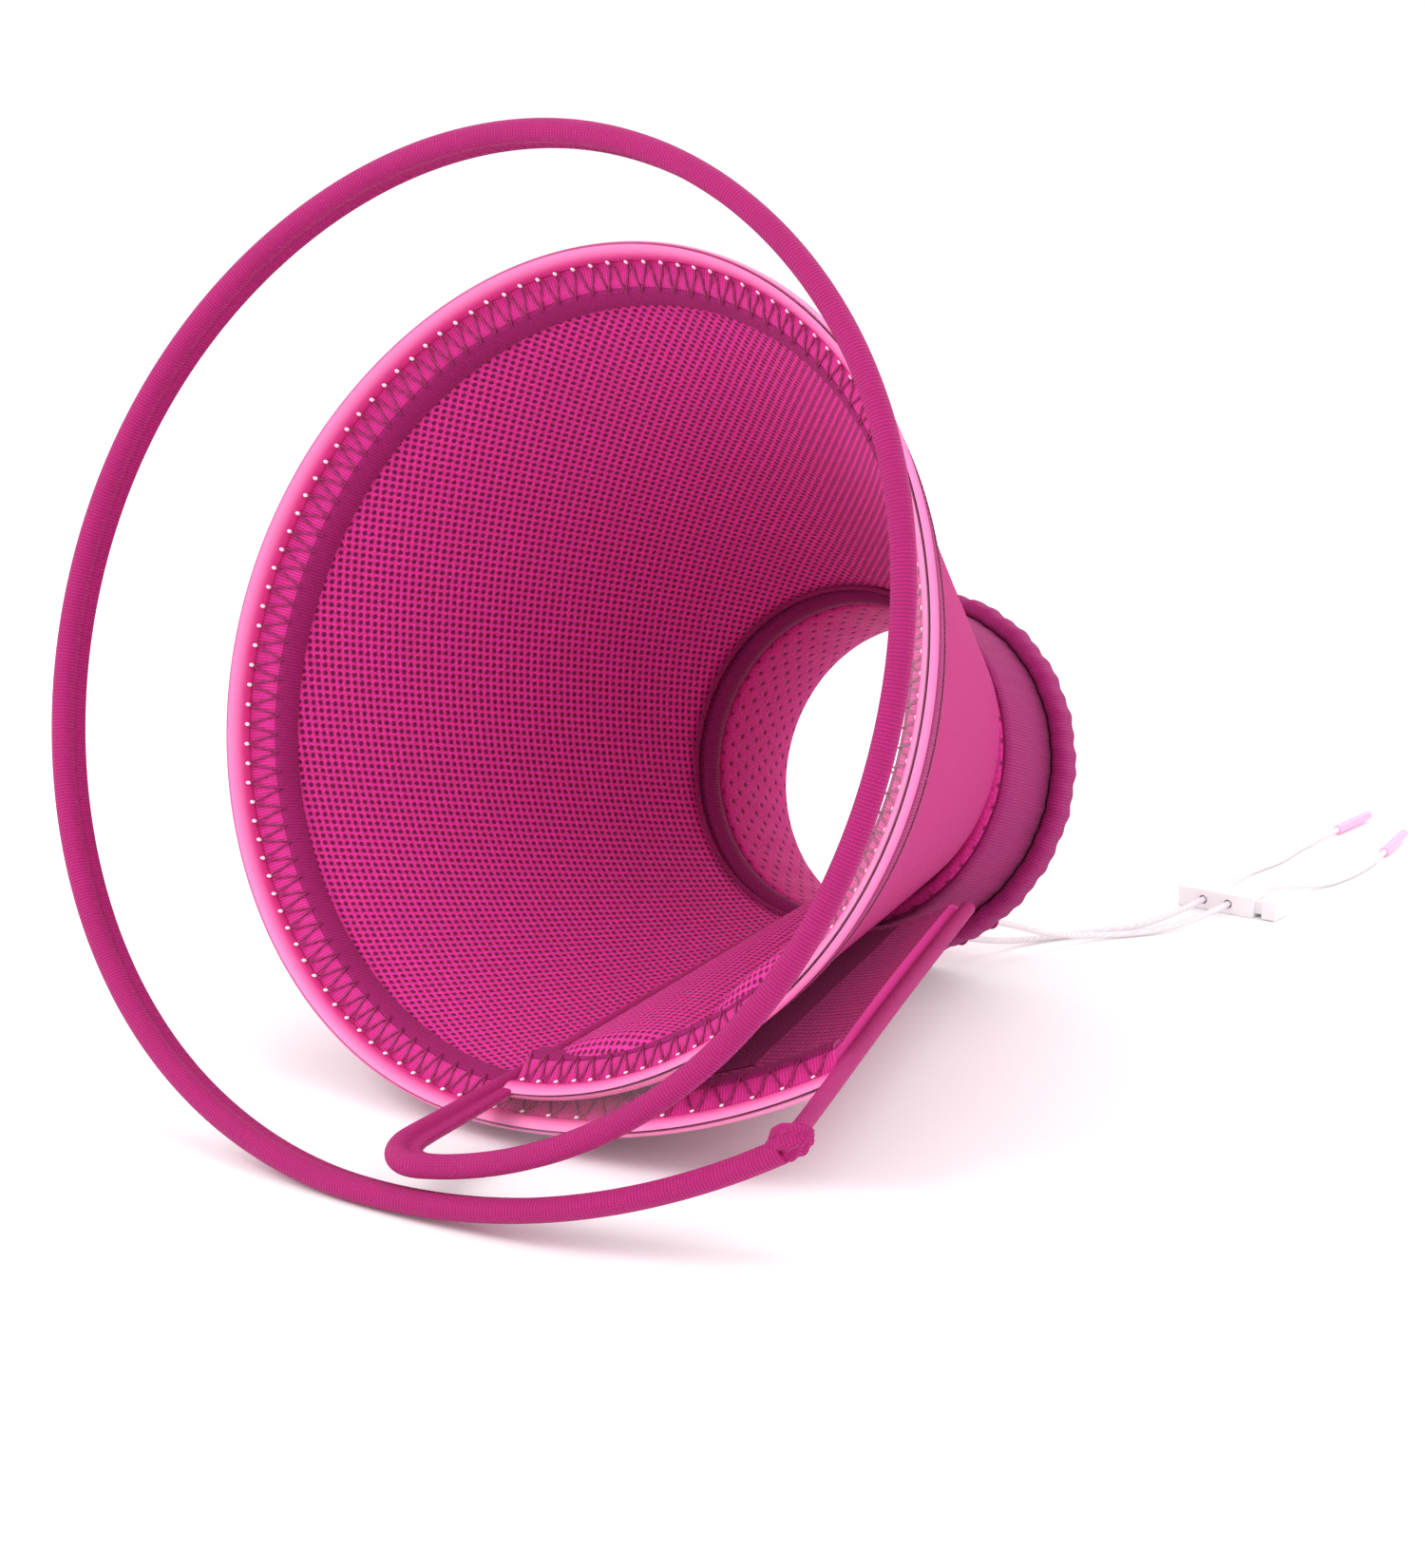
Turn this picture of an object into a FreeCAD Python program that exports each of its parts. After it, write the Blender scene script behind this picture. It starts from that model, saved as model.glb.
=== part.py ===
"""Soft elizabethan collar: a padded fabric cone with a clear visor, lying on its side.

The cone is modelled about the Y axis with its mouth at y = 0 and its neck towards +Y. Its wall is a spiral:
the main wrap turns about the cone's axis from the top, by the left, to the bottom and on into a flatter tail;
the side wrap turns from the top, by the right, about an axis raised by spiral_shift, so that the flap at its
end lies inside the tail. A wall point is (along, out): along the slant from the rim, out from the visor's middle.
Turns are degrees from the top towards +X. Finished pieces lie on the rim and the drawstring channel, floor z = 0.
"""
import FreeCAD, Part
import math
import os
import Sketcher

DIMENSIONS = {
    "half_angle": 22.7,
    "mouth_radius": 195.5,
    "spiral_shift": 6.0,
    "tail_shift": 110.0,
    "tail_sweep": 35.0,
    "fold_turn": 120.0,
    "fold_gap": 0.25,
    "flap_turn": 176.0,
    "fold_depth": 10.0,
    "rim_radius": 4.5,
    "core_radius": 2.0,
    "core_gap": 0.1,
    "rim_flange": 9.0,
    "tape_thickness": 0.9,
    "film_thickness": 0.8,
    "seam_gap": 0.1,
    "brim_width": 72.0,
    "welt_width": 9.0,
    "welt_height": 2.1,
    "film_tuck": 7.0,
    "binding_width": 16.0,
    "binding_thickness": 0.9,
    "pad_length": 300.0,
    "foam_thickness": 5.0,
    "lining_thickness": 1.6,
    "cover_thickness": 1.0,
    "cover_length": 311.0,
    "rib_height": 7.4,
    "rib_cover": 1.5,
    "rib_split_turn": 148.0,
    "rib_gap": 1.2,
    "neck_roll_radius": 5.0,
    "piping_radius": 0.9,
    "neck_start": 287.8,
    "neck_end": 340.0,
    "neck_radius": 66.0,
    "neck_pad_thickness": 8.0,
    "neck_pad_chamfer": 2.0,
    "sleeve_start": 293.0,
    "sleeve_thickness": 1.2,
    "neck_gap_turn": 144.0,
    "neck_gap": 4.0,
    "channel_length": 14.0,
    "channel_height": 8.0,
    "cord_radius": 1.5,
    "cord_clearance": 0.3,
    "exit_spread": 12.0,
    "eyelet_radius": 3.6,
    "eyelet_thickness": 1.0,
    "flap_edge_radius": 3.8,
    "tail_edge_radius": 3.5,
    "tuck_radius": 7.5,
    "hook_start": 155.0,
    "hook_sweep": 17.0,
    "strip_thickness": 1.1,
    "strip_start": 110.0,
    "strip_end": 285.0,
    "loop_sweep": 25.0,
    "tip_radius": 2.4,
    "tip_length": 34.0,
    "lock_centre_x": 97.5,
    "lock_centre_y": 309.7,
    "lock_centre_z": 4.9,
    "lock_length": 39.0,
    "lock_depth": 16.0,
    "lock_height": 9.4,
    "lock_wall": 1.6,
    "lock_side_wall": 2.5,
    "cord_spacing": 13.0,
    "lock_hole_radius": 2.1,
    "plunger_travel": 4.0,
    "plunger_clearance": 0.2,
    "plunger_nose": 11.0,
    "button_length": 7.0,
    "spring_radius": 2.2,
    "spring_bore": 1.4,
}

# The two ends of the drawstring, hand laid in the finished frame from the eyelets back along the floor.
RIGHT_ROUTE = [
    (56.1, 157.0, 24.9), (56.1, 180.7, 16.8), (62.0, 205.7, 6.5), (75.0, 231.5, 1.8), (94.0, 254.5, 1.8),
    (104.0, 281.7, 4.9), (104.0, 339.7, 4.9), (123.0, 364.0, 1.8), (127.5, 391.0, 1.8), (127.0, 415.0, 1.8),
    (124.5, 436.0, 2.7),
]
LEFT_ROUTE = [
    (42.7, 153.8, 15.6), (42.7, 177.4, 7.5), (49.0, 202.7, 2.0), (64.0, 228.0, 1.8), (82.0, 252.2, 1.8),
    (91.0, 279.7, 4.9), (91.0, 337.7, 4.9), (83.5, 366.0, 1.8), (88.0, 394.0, 1.8), (85.0, 423.0, 1.8),
    (87.5, 461.0, 2.7),
]

doc = FreeCAD.newDocument("elizabethan_collar")
sheet = doc.addObject("Spreadsheet::Sheet", "dims")
for row, (alias, number) in enumerate(DIMENSIONS.items(), start=1):
    sheet.set(f"A{row}", alias)
    sheet.set(f"B{row}", str(number))
    sheet.setAlias(f"B{row}", alias)
doc.recompute()


class Length:
    """A number together with the sheet expression that gives it."""

    def __init__(self, text, value):
        self.text = text
        self.value = value

    def __add__(self, other):
        other = length(other)
        return Length(f"({self.text} + {other.text})", self.value + other.value)

    def __sub__(self, other):
        other = length(other)
        return Length(f"({self.text} - {other.text})", self.value - other.value)

    def __mul__(self, other):
        other = length(other)
        return Length(f"({self.text} * {other.text})", self.value * other.value)

    def __truediv__(self, other):
        other = length(other)
        return Length(f"({self.text} / {other.text})", self.value / other.value)

    def __neg__(self):
        return Length(f"(0 - {self.text})", -self.value)


def length(number):
    """A plain number as a Length."""
    if isinstance(number, Length):
        return number
    return Length(f"({float(number)})", float(number))


def cell(alias):
    """One named size."""
    return Length(f"dims.{alias}", float(getattr(sheet, alias)))


ZERO = length(0)
SIN = Length("sin(dims.half_angle)", math.sin(math.radians(cell("half_angle").value)))
COS = Length("cos(dims.half_angle)", math.cos(math.radians(cell("half_angle").value)))
APEX = cell("mouth_radius") * COS / SIN


def wall(along, out):
    """(axial, radial) of a wall point."""
    along = length(along)
    out = length(out)
    return along * COS + out * SIN, cell("mouth_radius") - along * SIN + out * COS


def strip(start, end, inner, outer):
    """The four corners of a layer of the wall."""
    return [wall(start, inner), wall(end, inner), wall(end, outer), wall(start, outer)]


# Sectors of the wall: (turn where the outline is drawn, sweep, clockwise, raised, about the tail's axis)
LEFT = (ZERO, length(180), False, False, False)
RIGHT = (ZERO, cell("fold_turn"), True, True, False)
TAIL = (length(180), cell("tail_sweep"), False, False, True)
FLAP = (cell("fold_turn") + cell("fold_gap"), cell("flap_turn") - cell("fold_turn") - cell("fold_gap"),
        True, True, False)
MAIN = (LEFT, RIGHT, TAIL)
NECK = (cell("neck_gap_turn") + cell("neck_gap") / 2, length(360) - cell("neck_gap"), True, False, False)
pieces = {}


def draw(body, name, sector, loops):
    """A fully dimensioned sketch of closed outlines in the plane of one turn."""
    turn, _, _, raised, tilted = sector
    lift = cell("spiral_shift") if raised else ZERO
    sketch = body.newObject("Sketcher::SketchObject", name)
    plane = [item for item in body.Origin.OriginFeatures if item.Role == "YZ_Plane"][0]
    sketch.AttachmentSupport = [(plane, "")]
    sketch.MapMode = "FlatFace"
    tilt = FreeCAD.Rotation(FreeCAD.Vector(1, 0, 0), turn.value)
    sketch.AttachmentOffset = FreeCAD.Placement(FreeCAD.Vector(0, lift.value, 0), tilt)

    def fix(geometry, corner, point):
        for kind, distance in (("DistanceX", point[0]), ("DistanceY", point[1])):
            index = sketch.addConstraint(Sketcher.Constraint(kind, -1, 1, geometry, corner, distance.value))
            sketch.setExpression(f"Constraints[{index}]", distance.text)

    for loop in loops:
        if isinstance(loop, tuple):
            centre, radius = (loop[0][0], loop[0][1] - lift), loop[1]
            middle = FreeCAD.Vector(centre[0].value, centre[1].value, 0)
            circle = sketch.addGeometry(Part.Circle(middle, FreeCAD.Vector(0, 0, 1), radius.value), False)
            fix(circle, 3, centre)
            index = sketch.addConstraint(Sketcher.Constraint("Radius", circle, radius.value))
            sketch.setExpression(f"Constraints[{index}]", radius.text)
            continue
        corners = [(point[0], point[1] - lift) for point in loop]
        flat = [FreeCAD.Vector(axial.value, radial.value, 0) for axial, radial in corners]
        lines = []
        for index, start in enumerate(flat):
            end = flat[(index + 1) % len(flat)]
            lines.append(sketch.addGeometry(Part.LineSegment(start, end), False))
        for index, line in enumerate(lines):
            following = lines[(index + 1) % len(lines)]
            sketch.addConstraint(Sketcher.Constraint("Coincident", line, 2, following, 1))
            fix(line, 1, corners[index])
    if tilted:
        front, apex = (ZERO, -cell("tail_shift")), (APEX, ZERO)
        ends = [FreeCAD.Vector(point[0].value, point[1].value, 0) for point in (front, apex)]
        axis = sketch.addGeometry(Part.LineSegment(ends[0], ends[1]), True)
        fix(axis, 1, front)
        fix(axis, 2, apex)
    return sketch


def revolve(body, name, sector, loops):
    """One revolution of the outlines through a sector."""
    _, sweep, clockwise, _, tilted = sector
    sketch = draw(body, f"{name}_outline", sector, loops)
    feature = body.newObject("PartDesign::Revolution", name)
    feature.Profile = sketch
    feature.ReferenceAxis = (sketch, ["Axis0" if tilted else "H_Axis"])
    feature.Reversed = not clockwise
    feature.Angle = sweep.value
    feature.setExpression("Angle", sweep.text)
    return feature


def layer(name, sectors, *profiles):
    """A piece of the wall: each profile revolved through each sector, in one body."""
    body = doc.addObject("PartDesign::Body", name)
    body.Label = name
    body.AllowCompound = True
    for number, sector in enumerate(sectors):
        for part_number, loops in enumerate(profiles):
            revolve(body, f"{name}_{number}_{part_number}", sector, loops)
    pieces[name] = body
    return body


half_film = cell("film_thickness") / 2
gap = cell("seam_gap")
foam_top = half_film
foam_bottom = foam_top - cell("foam_thickness")
lining_top = foam_bottom - gap
lining_bottom = lining_top - cell("lining_thickness")
cover_bottom = half_film + gap
cover_top = cover_bottom + cell("cover_thickness")
film_start = cell("rim_radius") + gap
pad_seam = cell("brim_width") + cell("welt_width")
film_end = pad_seam + cell("film_tuck")
pad_start = film_end + gap * 2
tape_bottom = half_film + gap * 0.5
tape_top = tape_bottom + cell("tape_thickness")
tape_start = cell("rim_radius") - 0.6
rim_centre = wall(0, 0)
binding_top = cover_top + gap + cell("binding_thickness")
binding_bottom = lining_bottom - gap - cell("binding_thickness")
edge_out = half_film + gap
welt_low = half_film + gap + cell("welt_height")
trim_end = pad_seam + cell("binding_width") + 1
rib_bottom = foam_top - cell("rib_height")


def brim(prefix, sectors):
    """The rim, the clear visor, the two welts and the two bindings over the visor's seam."""
    ring = [(rim_centre, cell("rim_radius")), (rim_centre, cell("core_radius") + cell("core_gap"))]
    outer_tape = [strip(tape_start, cell("rim_flange"), tape_bottom, tape_top)]
    inner_tape = [strip(tape_start, cell("rim_flange"), -tape_top, -tape_bottom)]
    layer(f"{prefix}rim_binding", sectors, ring, outer_tape, inner_tape)
    layer(f"{prefix}rim_core", sectors, [(rim_centre, cell("core_radius"))])
    layer(f"{prefix}film", sectors, [strip(film_start, film_end, -half_film, half_film)])
    layer(f"{prefix}inner_welt", sectors, [strip(cell("brim_width"), pad_seam, -welt_low, -edge_out)])
    layer(f"{prefix}outer_welt", sectors, [strip(cell("brim_width"), pad_seam, edge_out, welt_low)])
    thick = cell("binding_thickness")
    slope = [
        wall(pad_seam + gap, -edge_out), wall(pad_seam + gap, -edge_out - thick), wall(film_end, binding_bottom),
        wall(trim_end, binding_bottom), wall(trim_end, lining_bottom - gap), wall(pad_start - gap, lining_bottom - gap),
        wall(pad_start - gap, -edge_out),
    ]
    layer(f"{prefix}pad_edge_binding", sectors, [slope])
    outside = strip(pad_seam + gap, pad_seam + cell("binding_width"), cover_top + gap, binding_top)
    layer(f"{prefix}outer_edge_binding", sectors, [outside])


brim("", MAIN)
pad_end = cell("pad_length")
layer("pad_foam", MAIN, [strip(pad_start, pad_end, foam_bottom, foam_top)])
layer("mesh_lining", MAIN, [strip(pad_start, pad_end, lining_bottom, lining_top)])
layer("outer_cover", MAIN, [strip(pad_seam + gap, cell("cover_length"), cover_bottom, cover_top)])
roll_centre = wall(pad_end + cell("neck_roll_radius") + 1, foam_bottom)
layer("neck_binding", (LEFT, RIGHT), [(roll_centre, cell("neck_roll_radius"))])
piping_centre = wall(pad_end - 2, lining_bottom - gap - cell("piping_radius"))
layer("neck_piping", (LEFT, RIGHT), [(piping_centre, cell("piping_radius"))])

bore = cell("neck_radius")
pad_outer = bore + cell("neck_pad_thickness")
edge = cell("neck_pad_chamfer")
front, back = cell("neck_start"), cell("neck_end")
neck_outline = [
    (front + edge, bore), (back - edge, bore), (back, bore + edge), (back, pad_outer),
    (front, pad_outer), (front, bore + edge),
]
layer("neck_pad", (NECK,), [neck_outline])
sleeve_low = pad_outer + gap
sleeve_high = sleeve_low + cell("sleeve_thickness")
sleeve_start = cell("sleeve_start")
layer("neck_sleeve", (NECK,), [[(sleeve_start, sleeve_low), (back, sleeve_low), (back, sleeve_high),
                                (sleeve_start, sleeve_high)]])
channel_low = sleeve_high + gap
channel_high = channel_low + cell("channel_height")
channel_front = back - cell("channel_length")
channel_middle = (back - cell("channel_length") / 2, channel_low + cell("channel_height") / 2)
cavity = cell("cord_radius") + cell("cord_clearance")
channel_box = [(channel_front, channel_low), (back, channel_low), (back, channel_high),
               (channel_front, channel_high)]
channel_blank = layer("channel_blank", (NECK,), [channel_box, (channel_middle, cavity)])
del pieces["channel_blank"]
layer("drawstring_hidden", (NECK,), [(channel_middle, cell("cord_radius"))])

strip_layer = [strip(cell("strip_start"), cell("strip_end"), lining_bottom - gap - cell("strip_thickness"),
                     lining_bottom - gap)]
layer("loop_strip", ((length(180), cell("loop_sweep"), False, False, True),), strip_layer)
brim("flap_", (FLAP,))
layer("flap_cover", (FLAP,), [strip(pad_seam + gap, cell("cover_length"), cover_bottom, cover_top)])
rib_start = trim_end + 1.5
half_gap = cell("rib_gap") / 2
RIB_1 = (cell("rib_split_turn") + half_gap, cell("flap_turn") - cell("rib_split_turn") - half_gap * 2,
         True, True, False)
RIB_2 = (cell("fold_turn") + half_gap, cell("rib_split_turn") - cell("fold_turn") - half_gap * 2,
         True, True, False)
for name, sector in (("rib_1", RIB_1), ("rib_2", RIB_2)):
    layer(f"{name}_foam", (sector,), [strip(rib_start, pad_end - 1, rib_bottom, foam_top)])
    layer(f"{name}_cover", (sector,), [strip(rib_start, pad_end - 1, rib_bottom - gap - cell("rib_cover"),
                                             rib_bottom - gap)])
layer("flap_neck_binding", (FLAP,), [(roll_centre, cell("neck_roll_radius"))])
hook_low = cover_top + gap
layer("hook_strip", ((cell("hook_start"), cell("hook_sweep"), True, True, False),),
      [strip(cell("strip_start"), cell("strip_end"), hook_low, hook_low + cell("strip_thickness"))])
doc.recompute()

# Lying: the rim's lowest point and the channel's lowest point both touch the floor.
lever = math.hypot(cell("mouth_radius").value - channel_high.value, back.value)
lean = math.atan2(cell("mouth_radius").value - channel_high.value, back.value)
lean += math.asin(cell("rim_radius").value / lever)
height = cell("mouth_radius").value * math.cos(lean) + cell("rim_radius").value
tipped = FreeCAD.Rotation(FreeCAD.Vector(1, 0, 0), -math.degrees(lean))


def cone_point(point, turn, aside=0.0, lift=0.0):
    """A point of the cone's frame from (axial, radial), its turn and a step aside, towards more turn."""
    angle = math.radians(turn)
    axial, radial = point[0].value, point[1].value - lift
    across = FreeCAD.Vector(math.cos(angle), 0, -math.sin(angle))
    return FreeCAD.Vector(radial * math.sin(angle), axial, radial * math.cos(angle) + lift) + across * aside


def cylinder(name, radius, tall):
    """A primitive cylinder with both sizes bound."""
    item = doc.addObject("Part::Cylinder", name)
    item.Label = name
    item.setExpression("Radius", radius.text)
    item.setExpression("Height", tall.text)
    return item


def box(name, width, depth, tall, corner):
    """A primitive box with its sizes and corner bound."""
    item = doc.addObject("Part::Box", name)
    item.Label = name
    item.setExpression("Length", width.text)
    item.setExpression("Width", depth.text)
    item.setExpression("Height", tall.text)
    item.setExpression("Placement.Base.x", corner[0].text)
    item.setExpression("Placement.Base.y", corner[1].text)
    item.setExpression("Placement.Base.z", corner[2].text)
    return item


def along_line(start, end):
    """The placement whose Z axis runs from start towards end."""
    return FreeCAD.Placement(start, FreeCAD.Rotation(FreeCAD.Vector(0, 0, 1), end - start))


def cut(name, base, tools):
    """One piece cut by others."""
    result = base
    for number, tool in enumerate(tools):
        step = doc.addObject("Part::Cut", f"{name}_cut_{number}")
        step.Base = result
        step.Tool = tool
        result = step
    result.Label = name
    pieces[name] = result
    return result


# The channel's two exits, drilled from its cord cavity to its rear face, and their eyelets.
local = {}
exit_turns = {
    "right": cell("neck_gap_turn").value - cell("exit_spread").value / 2,
    "left": cell("neck_gap_turn").value + cell("exit_spread").value / 2,
}
drills = []
for side, turn in exit_turns.items():
    drill = cylinder(f"exit_drill_{side}", cavity, cell("channel_length"))
    drill.Placement = along_line(cone_point(channel_middle, turn), cone_point((back + 10, channel_middle[1]), turn))
    drills.append(drill)
    rear = cone_point((back, channel_middle[1]), turn)
    beyond = cone_point((back + 10, channel_middle[1]), turn)
    disc = cylinder(f"eyelet_disc_{side}", cell("eyelet_radius"), cell("eyelet_thickness"))
    disc.Placement = along_line(rear, beyond)
    hole = cylinder(f"eyelet_hole_{side}", cavity, cell("eyelet_thickness") * 3)
    hole.Placement = along_line(rear - FreeCAD.Vector(0, cell("eyelet_thickness").value, 0), beyond)
    local[f"eyelet_{side}"] = cut(f"eyelet_{side}", disc, [hole])
cut("drawstring_channel", channel_blank, drills)

# Straight bindings along the two free edges, and the tuck at the tail's rim end.
shift = cell("spiral_shift").value
middle_out = foam_bottom * 0.25
reach = cell("flap_edge_radius") + gap
edge_start, edge_end = wall(-cell("rim_radius"), middle_out), wall(pad_end - 2, middle_out)
flap_edge = cylinder("flap_edge_binding", cell("flap_edge_radius"), pad_end - 2 + cell("rim_radius"))
turn = cell("flap_turn").value
flap_edge.Placement = along_line(cone_point(edge_start, turn, reach.value, shift),
                                 cone_point(edge_end, turn, reach.value, shift))
pieces["flap_edge_binding"] = flap_edge

tail_apex = FreeCAD.Vector(0, APEX.value, 0)
tail_axis = FreeCAD.Vector(0, 0, cell("tail_shift").value) - tail_apex
tail_turn = FreeCAD.Rotation(tail_axis, cell("tail_sweep").value)
tail_step = cell("tail_edge_radius") + gap
tail_ends = []
for along in (ZERO, pad_end):
    point = cone_point(wall(along, middle_out), 180.0, -tail_step.value)
    swung = FreeCAD.Placement(FreeCAD.Vector(), tail_turn, tail_apex).multVec(point)
    other = FreeCAD.Placement(FreeCAD.Vector(), tail_turn.inverted(), tail_apex).multVec(point)
    tail_ends.append(swung if swung.x > other.x else other)
tail_edge = cylinder("tail_edge_binding", cell("tail_edge_radius"), pad_end)
tail_edge.Placement = along_line(tail_ends[0], tail_ends[1])
pieces["tail_edge_binding"] = tail_edge
tuck = doc.addObject("Part::Sphere", "rim_end_tuck")
tuck.Label = "rim_end_tuck"
tuck.setExpression("Radius", cell("tuck_radius").text)
across = (tail_ends[0] - FreeCAD.Vector(0, 0, tail_ends[0].z + 100)).normalize()
outward = FreeCAD.Vector(math.cos(math.radians(cell("tail_sweep").value)), 0,
                         math.sin(math.radians(cell("tail_sweep").value)))
tuck_reach = cell("tuck_radius").value + cell("tail_edge_radius").value + gap.value
tuck.Placement = FreeCAD.Placement(tail_ends[0] + outward * tuck_reach, FreeCAD.Rotation())
pieces["rim_end_tuck"] = tuck
doc.recompute()

# Lay every piece down and centre the object over the origin.
laid = FreeCAD.Placement(FreeCAD.Vector(0, 0, height), tipped)
bounds = FreeCAD.BoundBox()
for piece in pieces.values():
    turned = piece.Shape.copy()
    turned.Placement = laid.multiply(turned.Placement)
    bounds.add(turned.optimalBoundingBox(False))
laid.Base = FreeCAD.Vector(-bounds.Center.x, -bounds.Center.y, height)
for piece in pieces.values():
    piece.Placement = laid.multiply(piece.Placement)

# The spring-loaded cord lock, on both cords behind the neck.
x, y, z = cell("lock_centre_x"), cell("lock_centre_y"), cell("lock_centre_z")
lock_x = x - cell("lock_length") / 2
lock_y = y - cell("lock_depth") / 2
side, roof = cell("lock_side_wall"), cell("lock_wall")
shell = box("lock_shell", cell("lock_length"), cell("lock_depth"), cell("lock_height"),
            (lock_x, lock_y, z - cell("lock_height") / 2))
cavity_depth = cell("lock_depth") - side * 2
cavity_height = cell("lock_height") - roof * 2
hollow = box("lock_hollow", cell("lock_length"), cavity_depth, cavity_height,
             (lock_x + roof, lock_y + side, z - cavity_height / 2))
holes = []
for number, sign in enumerate((-1, 1)):
    hole = cylinder(f"lock_cord_hole_{number}", cell("lock_hole_radius"), cell("lock_depth") * 2)
    hole.setExpression("Placement.Base.x", (x + cell("cord_spacing") / 2 * sign).text)
    hole.setExpression("Placement.Base.y", (y + cell("lock_depth")).text)
    hole.setExpression("Placement.Base.z", z.text)
    hole.Placement.Rotation = FreeCAD.Rotation(FreeCAD.Vector(1, 0, 0), 90)
    holes.append(hole)
cut("lock_housing", shell, [hollow] + holes)
free = cell("plunger_clearance")
bar_depth = cavity_depth - free * 2
bar_height = cavity_height - free * 2
bar = box("plunger_bar", cell("plunger_nose") + cell("lock_length") / 2 + cell("plunger_travel") + 1, bar_depth,
          bar_height, (x - cell("plunger_nose"), y - bar_depth / 2, z - bar_height / 2))
button_x = x + cell("lock_length") / 2 + cell("plunger_travel") + 0.3
button = box("plunger_button", cell("button_length"), cell("lock_depth") - 1, cell("lock_height") - 0.6,
             (button_x, lock_y + 0.5, z - cell("lock_height") / 2 + 0.3))
whole = doc.addObject("Part::Fuse", "plunger_whole")
whole.Base = bar
whole.Tool = button
slots = []
slot_height = cell("lock_hole_radius") * 2
for number, sign in enumerate((-1, 1)):
    low_x = x + cell("cord_spacing") / 2 * sign - cell("lock_hole_radius")
    slots.append(box(f"plunger_slot_{number}", slot_height + cell("plunger_travel"), cell("lock_depth") * 2,
                     slot_height, (low_x, y - cell("lock_depth"), z - cell("lock_hole_radius"))))
cut("lock_plunger", whole, slots)
spring_start = lock_x + roof
spring_length = x - cell("plunger_nose") - spring_start
coil = cylinder("spring_coil", cell("spring_radius"), spring_length)
coil_bore = cylinder("spring_inside", cell("spring_bore"), spring_length * 2)
for item, start in ((coil, spring_start), (coil_bore, spring_start - 2)):
    item.setExpression("Placement.Base.x", start.text)
    item.setExpression("Placement.Base.y", y.text)
    item.setExpression("Placement.Base.z", z.text)
    item.Placement.Rotation = FreeCAD.Rotation(FreeCAD.Vector(0, 1, 0), 90)
cut("lock_spring", coil, [coil_bore])


def tube(name, route, radius):
    """A round cord along straight runs joined by tangent arcs, with the radii printed."""
    points = [FreeCAD.Vector(*point) for point in route]
    edges = []
    radii = []
    total = 0.0
    at = points[0]
    for before, corner, after in zip(points, points[1:], points[2:]):
        arriving = (corner - before).normalize()
        leaving = (after - corner).normalize()
        turned = arriving.getAngle(leaving)
        trim = 0.45 * min((corner - before).Length, (after - corner).Length)
        bend = trim / math.tan(turned / 2)
        start = corner - arriving * trim
        end = corner + leaving * trim
        inward = (leaving - arriving).normalize()
        middle = corner + inward * (bend / math.cos(turned / 2) - bend)
        edges.append(Part.LineSegment(at, start).toShape())
        edges.append(Part.Arc(start, middle, end).toShape())
        radii.append(round(bend, 1))
        total += (start - at).Length + bend * turned
        at = end
    edges.append(Part.LineSegment(at, points[-1]).toShape())
    total += (points[-1] - at).Length
    path = Part.Wire(edges)
    section = Part.Wire(Part.Circle(points[0], points[1] - points[0], radius).toShape())
    solid = path.makePipeShell([section], True, False)
    item = doc.addObject("Part::Feature", name)
    item.Label = name
    item.Shape = solid
    item.Placement = FreeCAD.Placement()
    expected = math.pi * radius ** 2 * total
    print(f"{name}: length {total:.1f} mm, radii {radii}, volume ratio {solid.Volume / expected:.5f}")
    pieces[name] = item
    return points[-2], points[-1]


for side_name, route in (("right", RIGHT_ROUTE), ("left", LEFT_ROUTE)):
    before, last = tube(f"cord_{side_name}", route, cell("cord_radius").value)
    tip = cylinder(f"cord_tip_{side_name}", cell("tip_radius"), cell("tip_length"))
    tip.Placement = along_line(last, last + (last - before))
    pieces[tip.Label] = tip

doc.recompute()
for item in doc.Objects:
    if "Invalid" in item.State or "Error" in item.State:
        raise RuntimeError(f"{item.Name} failed: {item.State}")
os.makedirs("parts", exist_ok=True)
for name, piece in pieces.items():
    if piece.Shape.isNull() or not piece.Shape.isValid():
        raise RuntimeError(f"{name} has no valid shape")
    piece.Shape.exportStep(f"parts/{name}.step")
whole_box = FreeCAD.BoundBox()
for piece in pieces.values():
    whole_box.add(piece.Shape.BoundBox)
print("lean", round(math.degrees(lean), 3), "height", round(height, 3), "base", laid.Base, "box", whole_box)
print(len(pieces), "pieces")
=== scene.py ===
import math

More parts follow.
